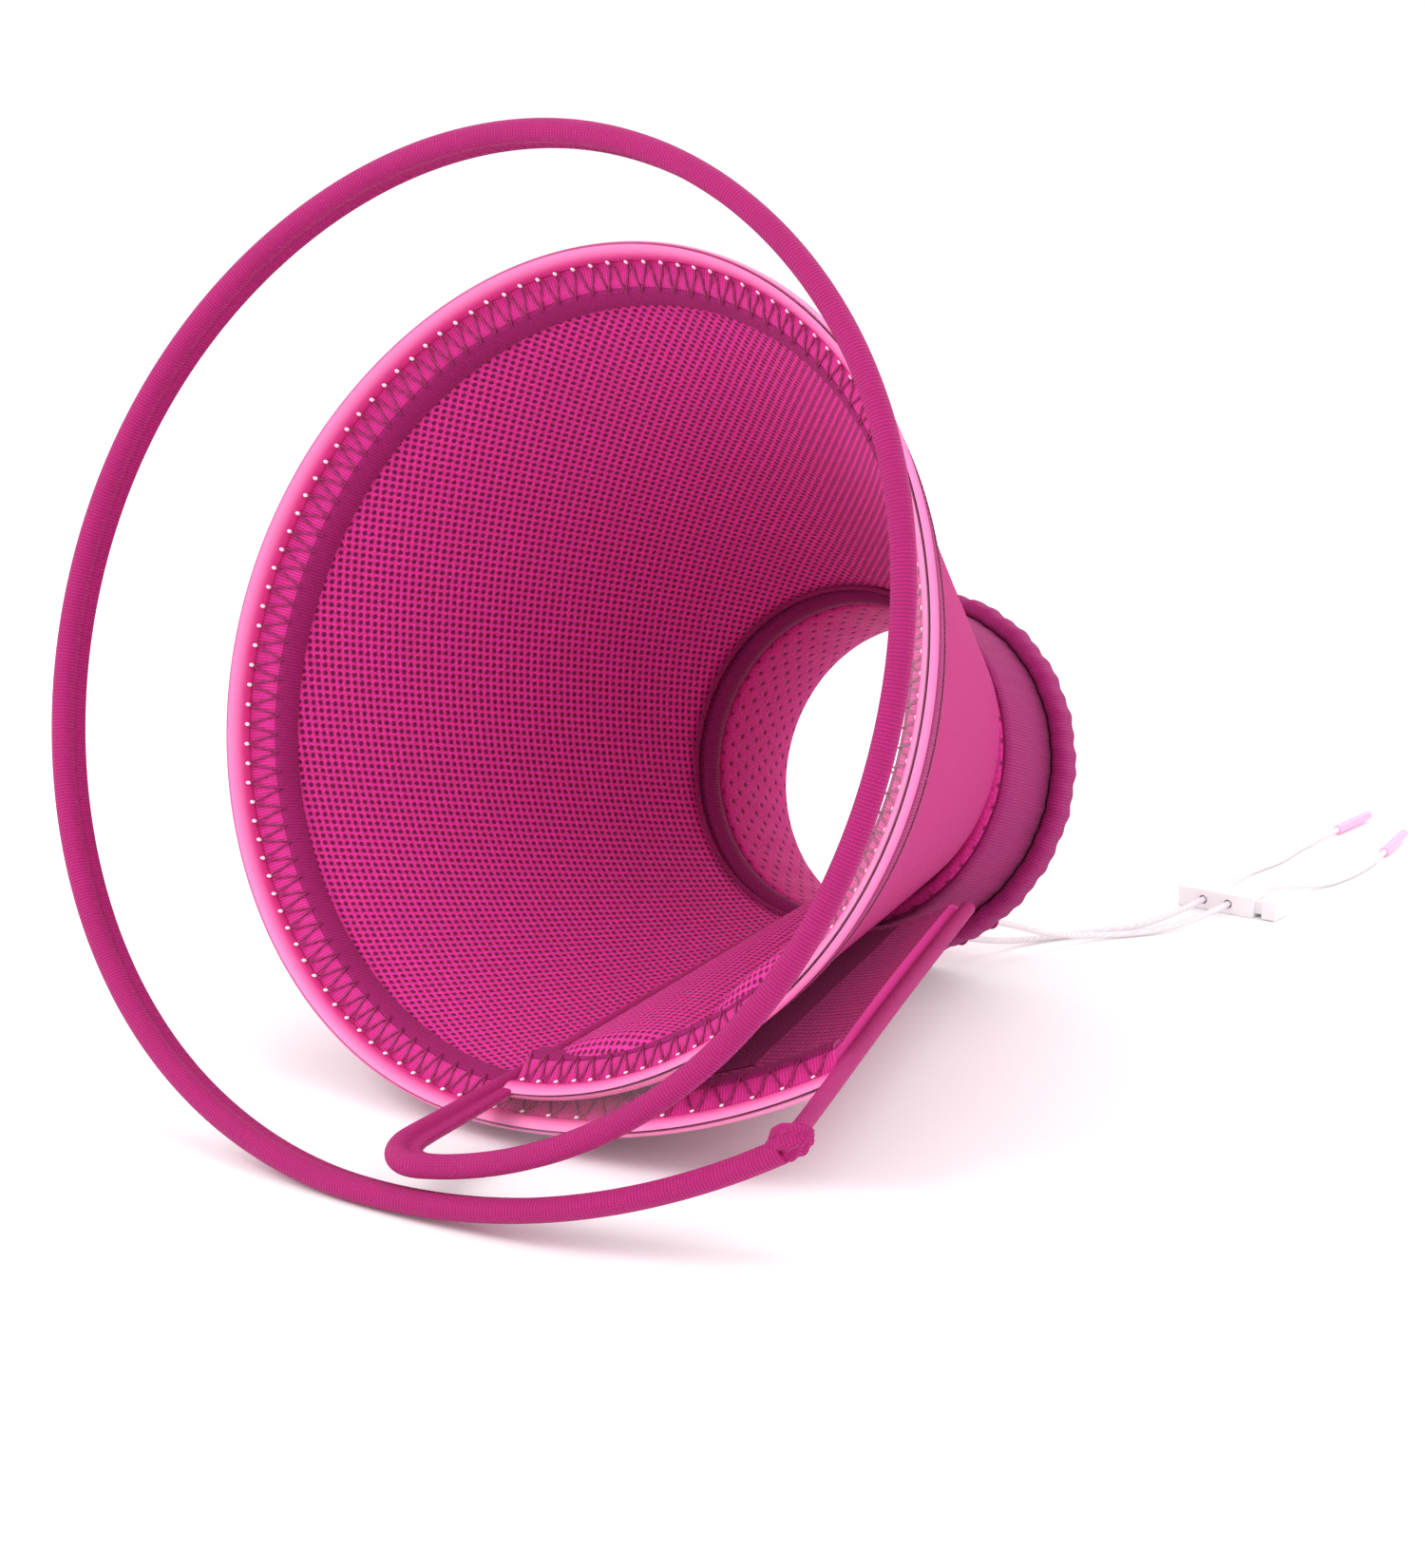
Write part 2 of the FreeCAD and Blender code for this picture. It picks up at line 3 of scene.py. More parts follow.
import bpy
import numpy as np
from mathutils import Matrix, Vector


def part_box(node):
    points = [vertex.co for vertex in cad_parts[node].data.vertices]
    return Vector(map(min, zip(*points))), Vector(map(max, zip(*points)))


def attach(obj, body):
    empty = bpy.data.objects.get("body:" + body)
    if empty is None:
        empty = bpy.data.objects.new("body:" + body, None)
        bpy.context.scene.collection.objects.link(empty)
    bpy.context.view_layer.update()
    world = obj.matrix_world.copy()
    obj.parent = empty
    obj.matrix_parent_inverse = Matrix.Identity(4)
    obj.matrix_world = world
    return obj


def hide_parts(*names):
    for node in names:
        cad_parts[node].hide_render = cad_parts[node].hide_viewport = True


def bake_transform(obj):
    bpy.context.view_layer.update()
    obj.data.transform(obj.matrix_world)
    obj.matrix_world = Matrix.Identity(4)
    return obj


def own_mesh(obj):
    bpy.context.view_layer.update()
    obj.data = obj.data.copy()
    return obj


bl_info = {
    "name": "Padded Recovery Collar",
    "version": (1, 0, 0),
    "blender": (4, 5, 0),
    "location": "View3D > Sidebar > Collar",
    "description": "Builds a padded recovery collar with clear brim, mesh lining, flap and drawstring",
    "category": "Add Mesh",
}

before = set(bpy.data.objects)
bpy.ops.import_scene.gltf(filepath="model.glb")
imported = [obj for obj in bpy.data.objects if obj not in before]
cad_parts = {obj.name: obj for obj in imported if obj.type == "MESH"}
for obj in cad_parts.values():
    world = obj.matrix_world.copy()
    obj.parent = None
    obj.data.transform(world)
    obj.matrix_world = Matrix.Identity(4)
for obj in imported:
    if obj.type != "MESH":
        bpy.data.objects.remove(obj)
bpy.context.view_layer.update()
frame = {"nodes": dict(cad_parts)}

MAIN_END = 96.0  # the turn, in degrees, where the fixed wall's pieces end and the flap's begin
FLANGE_ROW = .0075  # slant from the rim to the stitches in its flange
FLANGE_HALF = .0015  # half the flange's thickness
CORD_THICKNESS = .003
SHARP_ANGLE = math.radians(64)

# The drawstring's two ends, the same points as the solid cords have, in metres.
RIGHT_CORD = [
    (.0561, .1570, .0249), (.0561, .1807, .0168), (.0620, .2057, .0065), (.0750, .2315, .0018),
    (.0940, .2545, .0018), (.1040, .2817, .0049), (.1040, .3397, .0049), (.1230, .3640, .0018),
    (.1275, .3910, .0018), (.1270, .4150, .0018), (.1245, .4360, .0027),
]
LEFT_CORD = [
    (.0427, .1538, .0156), (.0427, .1774, .0075), (.0490, .2027, .0020), (.0640, .2280, .0018),
    (.0820, .2522, .0018), (.0910, .2797, .0049), (.0910, .3377, .0049), (.0835, .3660, .0018),
    (.0880, .3940, .0018), (.0850, .4230, .0018), (.0875, .4610, .0027),
]


def metres(name, about, default):
    return bpy.props.FloatProperty(name=name, description=about, default=default, unit="LENGTH", precision=4)


def degrees(name, about, default):
    return bpy.props.FloatProperty(name=name, description=about, default=math.radians(default),
                                   unit="ROTATION")


def dye(name, about, red, green, blue):
    values = [((c / 255 + .055) / 1.055) ** 2.4 if c > 10 else c / 3294 for c in (red, green, blue)]
    return bpy.props.FloatVectorProperty(name=name, description=about, subtype="COLOR", size=3,
                                         default=values, min=0, max=1)


class CollarSizes(bpy.types.PropertyGroup):
    """The collar's sizes, as cut and sewn."""
    half_angle: degrees("Half angle", "Slope of the wall from the cone's axis", 22.7)
    mouth_radius: metres("Mouth radius", "Middle of the rim tube from the axis", .1955)
    spiral_shift: metres("Spiral shift", "How far the side wrap's axis is raised", .006)
    tail_shift: metres("Tail shift", "How far above the axis the tail's own axis starts", .110)
    tail_sweep: degrees("Tail sweep", "How far the outer tail runs past the bottom", 35)
    fold_turn: degrees("Fold turn", "Where the flap folds, from the top", 120)
    flap_turn: degrees("Flap turn", "Where the flap ends, from the top", 176)
    lean: degrees("Lean", "How far the axis tips down to the floor", 18.968)
    height: metres("Height", "Middle of the mouth above the floor", .1893845)
    aside: metres("Aside", "Middle of the mouth across the floor", .003)
    ahead: metres("Ahead", "Middle of the mouth along the floor", -.1403007)
    ripple: metres("Ripple", "How far the soft wall strays from a true cone", .0011)
    swell: metres("Swell", "How far the padded edge springs out at the top", .0055)
    rim_radius: metres("Rim radius", "Half the rim tube's thickness", .0045)
    film_end: metres("Film end", "Slant from the rim to the welt", .072)
    pad_end: metres("Pad end", "Slant from the rim to the neck roll", .300)
    zigzag_pitch: metres("Zigzag pitch", "Length of one zigzag stitch", .0082)
    stitch_pitch: metres("Stitch pitch", "Length of one straight stitch", .0042)


class CollarColours(bpy.types.PropertyGroup):
    """The collar's colours."""
    mesh: dye("Mesh", "Spacer mesh yarn", 226, 50, 152)
    # Painted shade: this dark colour is painted into the mesh's holes and the neck band's eyelets in place of
    # the shade inside them.
    hole_shade: dye("Hollow", "Inside the mesh's holes", 112, 8, 66)
    rim: dye("Rim", "Ribbed rim tape", 176, 24, 110)
    binding: dye("Binding", "Ribbed seam tape", 160, 22, 104)
    roll: dye("Roll", "Ribbed tape of the neck roll", 138, 16, 88)
    welt: dye("Welt", "Satin welt by the seam", 226, 52, 140)
    # Painted highlight: the pale pink of the welt's outer edge stands in for light on the rolled satin.
    welt_edge: dye("Welt edge", "Satin welt at its outer edge", 250, 140, 196)
    step: dye("Step", "Cloth under the zigzag seam", 228, 50, 150)
    cover: dye("Cover", "Outer knit", 184, 28, 114)
    neck: dye("Neck", "Neck band yarn", 206, 42, 134)
    thread: dye("Thread", "Zigzag thread", 146, 14, 88)
    cord: dye("Cord", "Drawstring braid", 246, 240, 243)
    tip: dye("Tip", "Drawstring tips", 248, 176, 214)


def sizes():
    return bpy.context.scene.collar_sizes


def colours():
    return bpy.context.scene.collar_colours


# ---------------------------------------------------------------- the wall as a surface

def laid(point):
    """Tips a point of the cone's own frame by the lean about the x axis and moves it to its place on the
    floor."""
    s = sizes()
    c, n = math.cos(s.lean), math.sin(s.lean)
    x, y, z = point[..., 0], point[..., 1], point[..., 2]
    return np.stack((x + s.aside, y * c + z * n + s.ahead, -y * n + z * c + s.height), -1)


def ripple(turn, along):
    """Slow waves of the soft wall: two sines round the cone, growing from the neck to the rim, and a swell at
    the top, a bell curve in both directions, where the padded edge springs outwards."""
    wave = np.sin(np.radians(turn) * 3.1 + .7) * .6 + np.sin(np.radians(turn) * 5.3 + along * 21 + 2.1) * .4
    swell = np.exp(-((turn - 4) / 40) ** 2 - ((along - .085) / .045) ** 2)
    return sizes().ripple * wave * np.clip(1 - along / .33, 0, 1) + sizes().swell * swell


def wall(turn, along, out=0.0, calm=False):
    """A point of the wall. Its slant distance and offset give its place along the axis and its radius. The
    radius turns about the axis by the left, about the raised axis by the right, and about the tail's axis
    past the bottom."""
    s = sizes()
    turn, along, out = np.broadcast_arrays(*(np.asarray(v, float) for v in (turn, along, out)))
    if not calm:
        out = out + ripple(turn, along)
    ca, sa = math.cos(s.half_angle), math.sin(s.half_angle)
    axial = along * ca + out * sa
    radial = s.mouth_radius - along * sa + out * ca
    angle = np.radians(turn)
    raised = np.where(turn > 0, s.spiral_shift, 0.0)
    reach = radial - raised
    round_axis = np.stack((reach * np.sin(angle), axial, reach * np.cos(angle) + raised), -1)
    apex = s.mouth_radius * ca / sa
    spin = np.array((0.0, -apex, s.tail_shift))
    spin /= np.linalg.norm(spin)
    swing = np.radians(np.clip(-180.0 - turn, 0, None))[..., None]
    arm = np.stack((np.zeros_like(axial), axial - apex, -radial), -1)
    along_spin = (arm @ spin)[..., None] * spin
    swung = arm * np.cos(swing) + np.cross(spin, arm) * np.sin(swing) + along_spin * (1 - np.cos(swing))
    swung[..., 1] += apex
    return laid(np.where((turn < -180)[..., None], swung, round_axis))


def flat_pattern(turn, along):
    """Where a wall point lies on the cloth cut flat: its distance from the apex, turned by its share of the
    turn. The tail turns about an axis further off, so its cloth is longer by how much further the wall is
    from that axis."""
    s = sizes()
    turn = np.asarray(turn, float)
    deep = s.mouth_radius / math.tan(s.half_angle)
    further = deep * (s.mouth_radius + s.tail_shift) / math.hypot(deep, s.tail_shift) / s.mouth_radius
    turn = np.where(turn < -180, -180 + (turn + 180) * further, turn)
    apex = s.mouth_radius / math.sin(s.half_angle) - np.asarray(along)
    angle = np.radians(turn) * math.sin(s.half_angle)
    return np.stack(np.broadcast_arrays(apex * np.sin(angle), apex * np.cos(angle)), -1)


def cloth(turns, start, end):
    """Works out the middle line of a sheet's flat cut, a strip cut on a curve, as wide as its slant and as
    long as its middle line; the line is not used further."""
    middle = flat_pattern(np.linspace(turns[0], turns[-1], 180), (start + end) / 2)


# ---------------------------------------------------------------- meshes

def unit(vectors):
    """The same directions, each one long."""
    return vectors / np.linalg.norm(vectors, axis=-1)[..., None]


def closed(values):
    """A row of values that ends on its first one again."""
    return np.append(values, values[0])


def placed(name, mesh, material):
    """Puts a mesh in the scene as a smooth piece of one material."""
    mesh.polygons.foreach_set("use_smooth", np.full(len(mesh.polygons), True))
    mesh.materials.append(material)
    mesh.update()
    piece = bpy.data.objects.new(name, mesh)
    bpy.context.scene.collection.objects.link(piece)
    return piece


def add_mesh(name, points, material, uv=None, loop=False):
    """A closed grid of points as a mesh: rows run along the piece and columns round it. A loop joins its last
    row to its first, and any other piece has flat ends with sharp edges. uv holds one more column than the
    points, where the grid closes, and on a loop one more row. The grid is turned so that its volume is
    positive."""
    rows, columns = points.shape[:2]
    count = rows if loop else rows - 1
    i, j = np.meshgrid(np.arange(count), np.arange(columns), indexing="ij")
    row, next_row, j2 = i * columns, (i + 1) % rows * columns, (j + 1) % columns
    faces = np.stack((row + j, next_row + j, next_row + j2, row + j2), -1).reshape(-1, 4)
    flat = points.reshape(-1, 3)
    if uv is None:
        steps = [np.linalg.norm(np.diff(points, axis=way), axis=-1).mean(1 - way) for way in (0, 1)]
        u, v = (np.concatenate(((0,), np.cumsum(np.append(step, step[-1])))) for step in steps)
        uv = np.stack(np.meshgrid(u[:count + 1], v, indexing="ij"), -1)
    corners = np.stack((uv[i, j], uv[i + 1, j], uv[i + 1, j + 1], uv[i, j + 1]), 2).reshape(-1, 2)
    a, b, c, d = (flat[faces[:, k]] - flat.mean(0) for k in range(4))
    volume = (np.einsum("ij,ij->i", a, np.cross(b, c)) + np.einsum("ij,ij->i", a, np.cross(c, d))).sum()
    listed = faces.tolist()
    if not loop:
        listed += [list(range(columns))[::-1], [(rows - 1) * columns + k for k in range(columns)]]
        corners = np.concatenate((corners, np.zeros((columns * 2, 2)) + uv[0, 0]))
    mesh = bpy.data.meshes.new(name)
    mesh.from_pydata(flat.tolist(), [], listed)
    layer = mesh.uv_layers.new(name="UVMap")
    layer.data.foreach_set("uv", corners.astype(np.float32).ravel())
    if volume < 0:
        mesh.flip_normals()
    piece = placed(name, mesh, material)
    if not loop:
        mesh.set_sharp_from_angle(angle=SHARP_ANGLE)
    return piece


def band(name, turns, profile, material, calm=False, pattern=False):
    """A closed profile of (along, out) points carried round the wall through the given turns."""
    profile = np.asarray(profile, float)
    points = wall(turns[:, None], profile[None, :, 0], profile[None, :, 1], calm)
    uv = flat_pattern(turns[:, None], closed(profile[:, 0])[None]) if pattern else None
    return add_mesh(name, points, material, uv)


def tube(name, path, normal, profile, material):
    """A closed profile of (side, out) points, or one for each step, carried along a path. The side is square
    to the path and the normal."""
    tangent = unit(np.gradient(path, axis=0))
    normal = unit(normal - (normal * tangent).sum(1)[:, None] * tangent)
    side = np.cross(normal, tangent)
    profile = np.asarray(profile, float)
    if profile.ndim == 2:
        profile = profile[None]
    points = path[:, None] + side[:, None] * profile[..., :1] + normal[:, None] * profile[..., 1:]
    return add_mesh(name, points, material)


def circle(radius, count=16, squash=1.0):
    """Points of a circle, or of an ellipse flattened by squash, from its angle."""
    angle = np.arange(count) / count * math.tau
    return np.stack((radius * np.cos(angle), radius * squash * np.sin(angle)), -1)


def layer(slants, low, high):
    """A layer of the wall in section: out along its low side and back along its high side."""
    return np.concatenate((np.stack(np.broadcast_arrays(slants, low), -1),
                           np.stack(np.broadcast_arrays(slants[::-1], high), -1)))


def seeds(name, centres, length_dirs, side_dirs, up_dirs, half_sizes, material, faces=6, rings=5):
    """Many small ellipsoids as one mesh: a unit sphere's rings scaled and turned to each centre's three
    directions."""
    pole = np.linspace(0, math.pi, rings)
    turn = np.arange(faces) / faces * math.tau
    ball = np.stack((np.cos(pole)[:, None] + 0 * turn, np.sin(pole)[:, None] * np.cos(turn),
                     np.sin(pole)[:, None] * np.sin(turn)), -1).reshape(-1, 3) * np.asarray(half_sizes)
    axes = np.stack((length_dirs, side_dirs, up_dirs), 1)
    points = centres[:, None] + np.einsum("kc,ncx->nkx", ball, axes)
    i, j = np.meshgrid(np.arange(rings - 1), np.arange(faces), indexing="ij")
    quad = np.stack((i * faces + j, (i + 1) * faces + j, (i + 1) * faces + (j + 1) % faces,
                     i * faces + (j + 1) % faces), -1).reshape(-1, 4)
    every = (quad[None] + (np.arange(len(centres)) * rings * faces)[:, None, None]).reshape(-1, 4)
    mesh = bpy.data.meshes.new(name)
    mesh.from_pydata(points.reshape(-1, 3).tolist(), [], every.tolist())
    return placed(name, mesh, material)


def facing(turn, along):
    """The wall's outward, round and downward directions at a point, from small steps."""
    here = wall(turn, along)
    out = unit(wall(turn, along, .001) - here)
    round_way = unit(wall(np.asarray(turn) + .05, along) - here)
    return out, round_way, np.cross(out, round_way)


def main_turns(step=1.0):
    """Turns of the part of the wall that never folds, from the tail's end up to just before the fold."""
    start = -180 - math.degrees(sizes().tail_sweep)
    return np.linspace(start, MAIN_END, int((MAIN_END - start) / step) + 1)


def flap_turns(step=.8):
    """Turns of the part of the wall that bends at the fold, on to the flap's end."""
    end = math.degrees(sizes().flap_turn)
    return np.linspace(MAIN_END, end, int((end - MAIN_END) / step) + 1)


def stretches(main_step=1.0, flap_step=.8):
    """The wall's two stretches, each as the start of its pieces' names, what carries it and its turns."""
    return ("", "collar", main_turns(main_step)), ("flap_", "fold", flap_turns(flap_step))


def settle(piece, carrier, slot, *nodes):
    """Puts a piece on its body, or leaves a piece across the fold in place without letting it bend, and hides
    the solids it stands for. The slot is not used."""
    if carrier == "fold":
        turn = math.degrees(sizes().fold_turn)
        start, end = wall(turn - 5, .15), wall(turn + 4, .15)
        tuple(start)
        tuple(end)
        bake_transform(piece)
    else:
        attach(piece, carrier)
    if nodes:
        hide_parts(*nodes)


# ---------------------------------------------------------------- materials

class Shader:
    """A node tree with short calls for the nodes that the cloths need."""

    def __init__(self, name, roughness=.7, **fixed):
        self.material = bpy.data.materials.new(name)
        self.material.use_nodes = True
        self.nodes, self.links = self.material.node_tree.nodes, self.material.node_tree.links
        self.base = self.nodes["Principled BSDF"]
        self.base.inputs["Roughness"].default_value = roughness
        self.base.inputs["Sheen Tint"].default_value = (1.0, .30, .62, 1)
        for socket, value in fixed.items():
            self.base.inputs[socket.replace("_", " ")].default_value = value

    def node(self, kind, inputs=(), **settings):
        made = self.nodes.new(kind)
        for key, value in settings.items():
            setattr(made, key, value)
        for socket, value in dict(inputs).items():
            if isinstance(value, bpy.types.NodeSocket):
                self.links.new(value, made.inputs[socket])
            else:
                made.inputs[socket].default_value = value
        return made

    def uv(self):
        return self.node("ShaderNodeTexCoord").outputs["UV"]

    def place(self):
        return self.node("ShaderNodeTexCoord").outputs["Object"]

    def maths(self, operation, a, b=0.0, c=0.0):
        return self.node("ShaderNodeMath", {0: a, 1: b, 2: c}, operation=operation).outputs[0]

    def vector(self, operation, a, b=(0, 0, 0)):
        made = self.node("ShaderNodeVectorMath", {0: a, 1: b}, operation=operation)
        return made.outputs["Value" if operation == "LENGTH" else "Vector"]

    def noise(self, where, scale, detail=3.0, stretch=(1, 1, 1)):
        stretched = self.vector("MULTIPLY", where, stretch)
        inputs = {"Vector": stretched, "Scale": scale, "Detail": detail}
        return self.node("ShaderNodeTexNoise", inputs).outputs["Fac"]

    def ramp(self, value, low, high, to_low=0.0, to_high=1.0):
        inputs = {"Value": value, "From Min": low, "From Max": high, "To Min": to_low, "To Max": to_high}
        made = self.node("ShaderNodeMapRange", inputs, interpolation_type="SMOOTHSTEP")
        return made.outputs["Result"]

    def mix(self, factor, a, b):
        made = self.node("ShaderNodeMix", data_type="RGBA")
        for index, value in ((0, factor), (6, a), (7, b)):
            if isinstance(value, bpy.types.NodeSocket):
                self.links.new(value, made.inputs[index])
            else:
                made.inputs[index].default_value = value if index == 0 else (*value[:3], 1)
        return made.outputs[2]

    def finish(self, colour, bump=None, strength=.5, distance=.001, roughness=None):
        if isinstance(colour, bpy.types.NodeSocket):
            self.links.new(colour, self.base.inputs["Base Color"])
        else:
            self.base.inputs["Base Color"].default_value = (*colour, 1)
        if bump is not None:
            raised = self.node("ShaderNodeBump", {"Height": bump, "Strength": strength, "Distance": distance})
            self.links.new(raised.outputs[0], self.base.inputs["Normal"])
        if roughness is not None:
            self.links.new(roughness, self.base.inputs["Roughness"])
        return self.material


def shade(colour, factor):
    return tuple(min(1.0, c * factor) for c in colour)


def kept(name, maker):
    """A material made once and used by every piece that asks for it."""
    return bpy.data.materials.get(name) or maker(name)


def lattice(shader, where, across, down):
    """Distance, in metres, to the nearest point of a staggered grid: the nearer of two square grids half a
    step off."""
    scaled = shader.vector("DIVIDE", where, (across, down, 1))
    found = []
    for offset in ((0, 0, 0), (.5, .5, 0)):
        part = shader.vector("FRACTION", shader.vector("ADD", scaled, offset))
        part = shader.vector("MULTIPLY", shader.vector("SUBTRACT", part, (.5, .5, 0)), (across, down, 0))
        found.append(shader.vector("LENGTH", part))
    return shader.maths("MINIMUM", found[0], found[1])


def spacer_mesh(name):
    """Spacer mesh: round holes in a staggered grid painted dark as painted shade, bright knitted yarn between
    them with a painted highlight on the ridges away from the holes, lint over all.
    """
    c = colours()
    colour = tuple(c.mesh)
    shader = Shader(name, .78, Sheen_Weight=.22, Sheen_Roughness=.45, Specular_IOR_Level=.25)
    where = shader.uv()
    distance = lattice(shader, where, .0044, .0050)
    wobble = shader.maths("MULTIPLY", shader.maths("SUBTRACT", shader.noise(where, 900), .5), .0007)
    distance = shader.maths("ADD", distance, wobble)
    yarn = shader.ramp(distance, .00072, .00125)
    # Painted highlight: the yarn is painted lighter on the ridges away from the holes.
    ridge_highlight = shader.ramp(distance, .0011, .0022)
    fibre = shader.noise(where, 1500, 2, (1, .35, 1))
    cloud = shader.noise(where, 22, 2)
    bright = shader.mix(shader.ramp(fibre, .42, .68), shade(colour, .72), shade(colour, 1.28))
    bright = shader.mix(shader.maths("MULTIPLY", ridge_highlight, .45), bright, shade(colour, 1.12))
    bright = shader.mix(shader.ramp(cloud, .3, .7, 0, .16), bright, shade(colour, .70))
    # Painted shade: the holes get the dark hole colour in place of the shade inside them.
    tone = shader.mix(yarn, tuple(c.hole_shade), bright)
    height = shader.maths("ADD", yarn, shader.maths("MULTIPLY", fibre, .35))
    return shader.finish(tone, height, .8, .0011)


def ribbed_tape(name, colour, pitch=.0013, sheen=.18):
    """Ribbed tape: fine cords across the tape's length, crossed by a finer thread, with slow shading."""
    shader = Shader(name, .70, Sheen_Weight=sheen, Sheen_Roughness=.4, Specular_IOR_Level=.25)
    where = shader.uv()
    parts = shader.node("ShaderNodeSeparateXYZ", {0: where})
    slow = shader.noise(where, 300, 2)
    ribs = shader.maths("MULTIPLY", parts.outputs[0], math.tau / pitch)
    rib = shader.maths("SINE", shader.maths("ADD", ribs, shader.maths("MULTIPLY", slow, 2.0)))
    pick = shader.maths("SINE", shader.maths("MULTIPLY", parts.outputs[1], math.tau / (pitch * .75)))
    weave = shader.maths("ADD", shader.maths("MULTIPLY", rib, .7), shader.maths("MULTIPLY", pick, .3))
    lint = shader.noise(where, 1400, 2)
    # Painted shade: the ribs' grooves are painted darker and their crests lighter, following the same wave as
    # the bump.
    tone = shader.mix(shader.ramp(weave, -.9, .9), shade(colour, .62), shade(colour, 1.14))
    tone = shader.mix(shader.ramp(lint, .5, .72, 0, .35), tone, shade(colour, 1.45))
    tone = shader.mix(shader.ramp(shader.noise(where, 35, 2), .35, .7, 0, .3), tone, shade(colour, .74))
    return shader.finish(tone, weave, .55, .0005)


def satin(name):
    """Satin welt: hot pink at the seam fading to pale at its outer edge, a painted highlight, with fine
    brushed lines along it, the light ones painted sheen.
    """
    c = colours()
    shader = Shader(name, .46, Sheen_Weight=.3, Sheen_Roughness=.3, Anisotropic=.4, Specular_IOR_Level=.35)
    where = shader.uv()
    across = shader.node("ShaderNodeSeparateXYZ", {0: where}).outputs[1]
    brushed = shader.noise(where, 60, 4, (1, 26, 1))
    fine = shader.noise(where, 500, 3, (.15, 6, 1))
    # Painted highlight: the welt pales towards its outer edge, standing in for light on its rolled edge.
    fade = shader.ramp(across, .35, 1.1)
    tone = shader.mix(fade, tuple(c.welt), tuple(c.welt_edge))
    tone = shader.mix(shader.ramp(brushed, .35, .7, 0, .45), tone, shade(tuple(c.welt), .82))
    # Painted sheen: fine pale pink streaks along the satin stand in for its sheen.
    tone = shader.mix(shader.ramp(fine, .5, .75, 0, .35), tone, (.96, .36, .62))
    return shader.finish(tone, fine, .12, .0004)


def knit(name, colour, wale=.0016):
    """Fine knit: slanting loops in columns, a pair of crossed waves, with lint."""
    shader = Shader(name, .78, Sheen_Weight=.2, Sheen_Roughness=.4, Specular_IOR_Level=.2)
    where = shader.uv()
    parts = shader.node("ShaderNodeSeparateXYZ", {0: where})
    column = shader.maths("SINE", shader.maths("MULTIPLY", parts.outputs[0], math.tau / wale))
    slanted = shader.maths("ADD", shader.maths("MULTIPLY", parts.outputs[1], math.tau / (wale * .8)),
                           shader.maths("MULTIPLY", shader.maths("ABSOLUTE", column), 2.4))
    loop = shader.maths("SINE", slanted)
    height = shader.maths("ADD", shader.maths("MULTIPLY", loop, .5), shader.maths("ABSOLUTE", column))
    lint = shader.noise(where, 1300, 2)
    # Painted shade: the loops' low parts are painted darker and their tops lighter, following the bump's
    # height.
    tone = shader.mix(shader.ramp(height, -.3, 1.2), shade(colour, .66), shade(colour, 1.12))
    tone = shader.mix(shader.ramp(lint, .5, .75, 0, .3), tone, shade(colour, 1.5))
    return shader.finish(tone, height, .5, .0005)


def perforated(name):
    """Soft knit with sparse eyelet holes in a staggered grid, puckered round each hole; the holes and the
    pucker round them are painted darker as painted shade.
    """
    c = colours()
    colour = tuple(c.neck)
    shader = Shader(name, .76, Sheen_Weight=.2, Sheen_Roughness=.4, Specular_IOR_Level=.2)
    where = shader.uv()
    distance = lattice(shader, where, .0092, .0104)
    open_hole = shader.ramp(distance, .0007, .0012)
    pucker = shader.ramp(distance, .0009, .0022)
    fibre = shader.noise(where, 1400, 2, (1, .5, 1))
    tone = shader.mix(shader.ramp(fibre, .38, .66), shade(colour, .74), shade(colour, 1.18))
    # Painted shade: the cloth is painted darker in the pucker round each hole.
    tone = shader.mix(pucker, shade(colour, .80), tone)
    # Painted shade: the holes get the dark hole colour in place of the shade inside them.
    tone = shader.mix(open_hole, tuple(c.hole_shade), tone)
    height = shader.maths("ADD", shader.maths("ADD", open_hole, pucker), shader.maths("MULTIPLY", fibre, .3))
    return shader.finish(tone, height, .55, .0007)


def clear_sheet(name):
    """Clear film: nearly invisible face on, whiter and glossier at a slant, where the white is a painted
    reflection.
    """
    shader = Shader(name, .06, IOR=1.46)
    slant = shader.node("ShaderNodeLayerWeight", {"Blend": .35}).outputs["Facing"]
    scuff = shader.noise(shader.place(), 30, 3)
    # Painted reflection: the white film grows more opaque at a slant, standing in for its reflection; the
    # scuff noise adds faint scuffs.
    alpha = shader.maths("ADD", shader.ramp(slant, .5, 1.0, .018, .085), shader.ramp(scuff, .5, .8, 0, .010))
    shader.links.new(alpha, shader.base.inputs["Alpha"])
    return shader.finish((.96, .955, .96))


def twisted(name, colour):
    """Thread: light and dark plies from a fine noise."""
    shader = Shader(name, .4, Sheen_Weight=.2)
    ply = shader.noise(shader.place(), 2600, 1)
    tone = shader.mix(shader.ramp(ply, .35, .65), shade(colour, .6), shade(colour, 1.3))
    return shader.finish(tone, ply, .4, .0003)


def braid(name):
    """Braided cord: two families of slanting strands that cross."""
    colour = tuple(colours().cord)
    shader = Shader(name, .6, Sheen_Weight=.3)
    parts = shader.node("ShaderNodeSeparateXYZ", {0: shader.place()})
    weave = shader.maths("MULTIPLY", shader.maths("SINE", shader.maths("MULTIPLY", parts.outputs[1], 3400)),
                         shader.maths("SINE", shader.maths("MULTIPLY", shader.maths("ADD", parts.outputs[0],
                                                                                  parts.outputs[2]), 3400)))
    # Painted shade: the cord is painted darker where the strands' wave is low, following the bump.
    tone = shader.mix(shader.ramp(weave, -.8, .8), shade(colour, .80), colour)
    return shader.finish(tone, weave, .5, .0004)


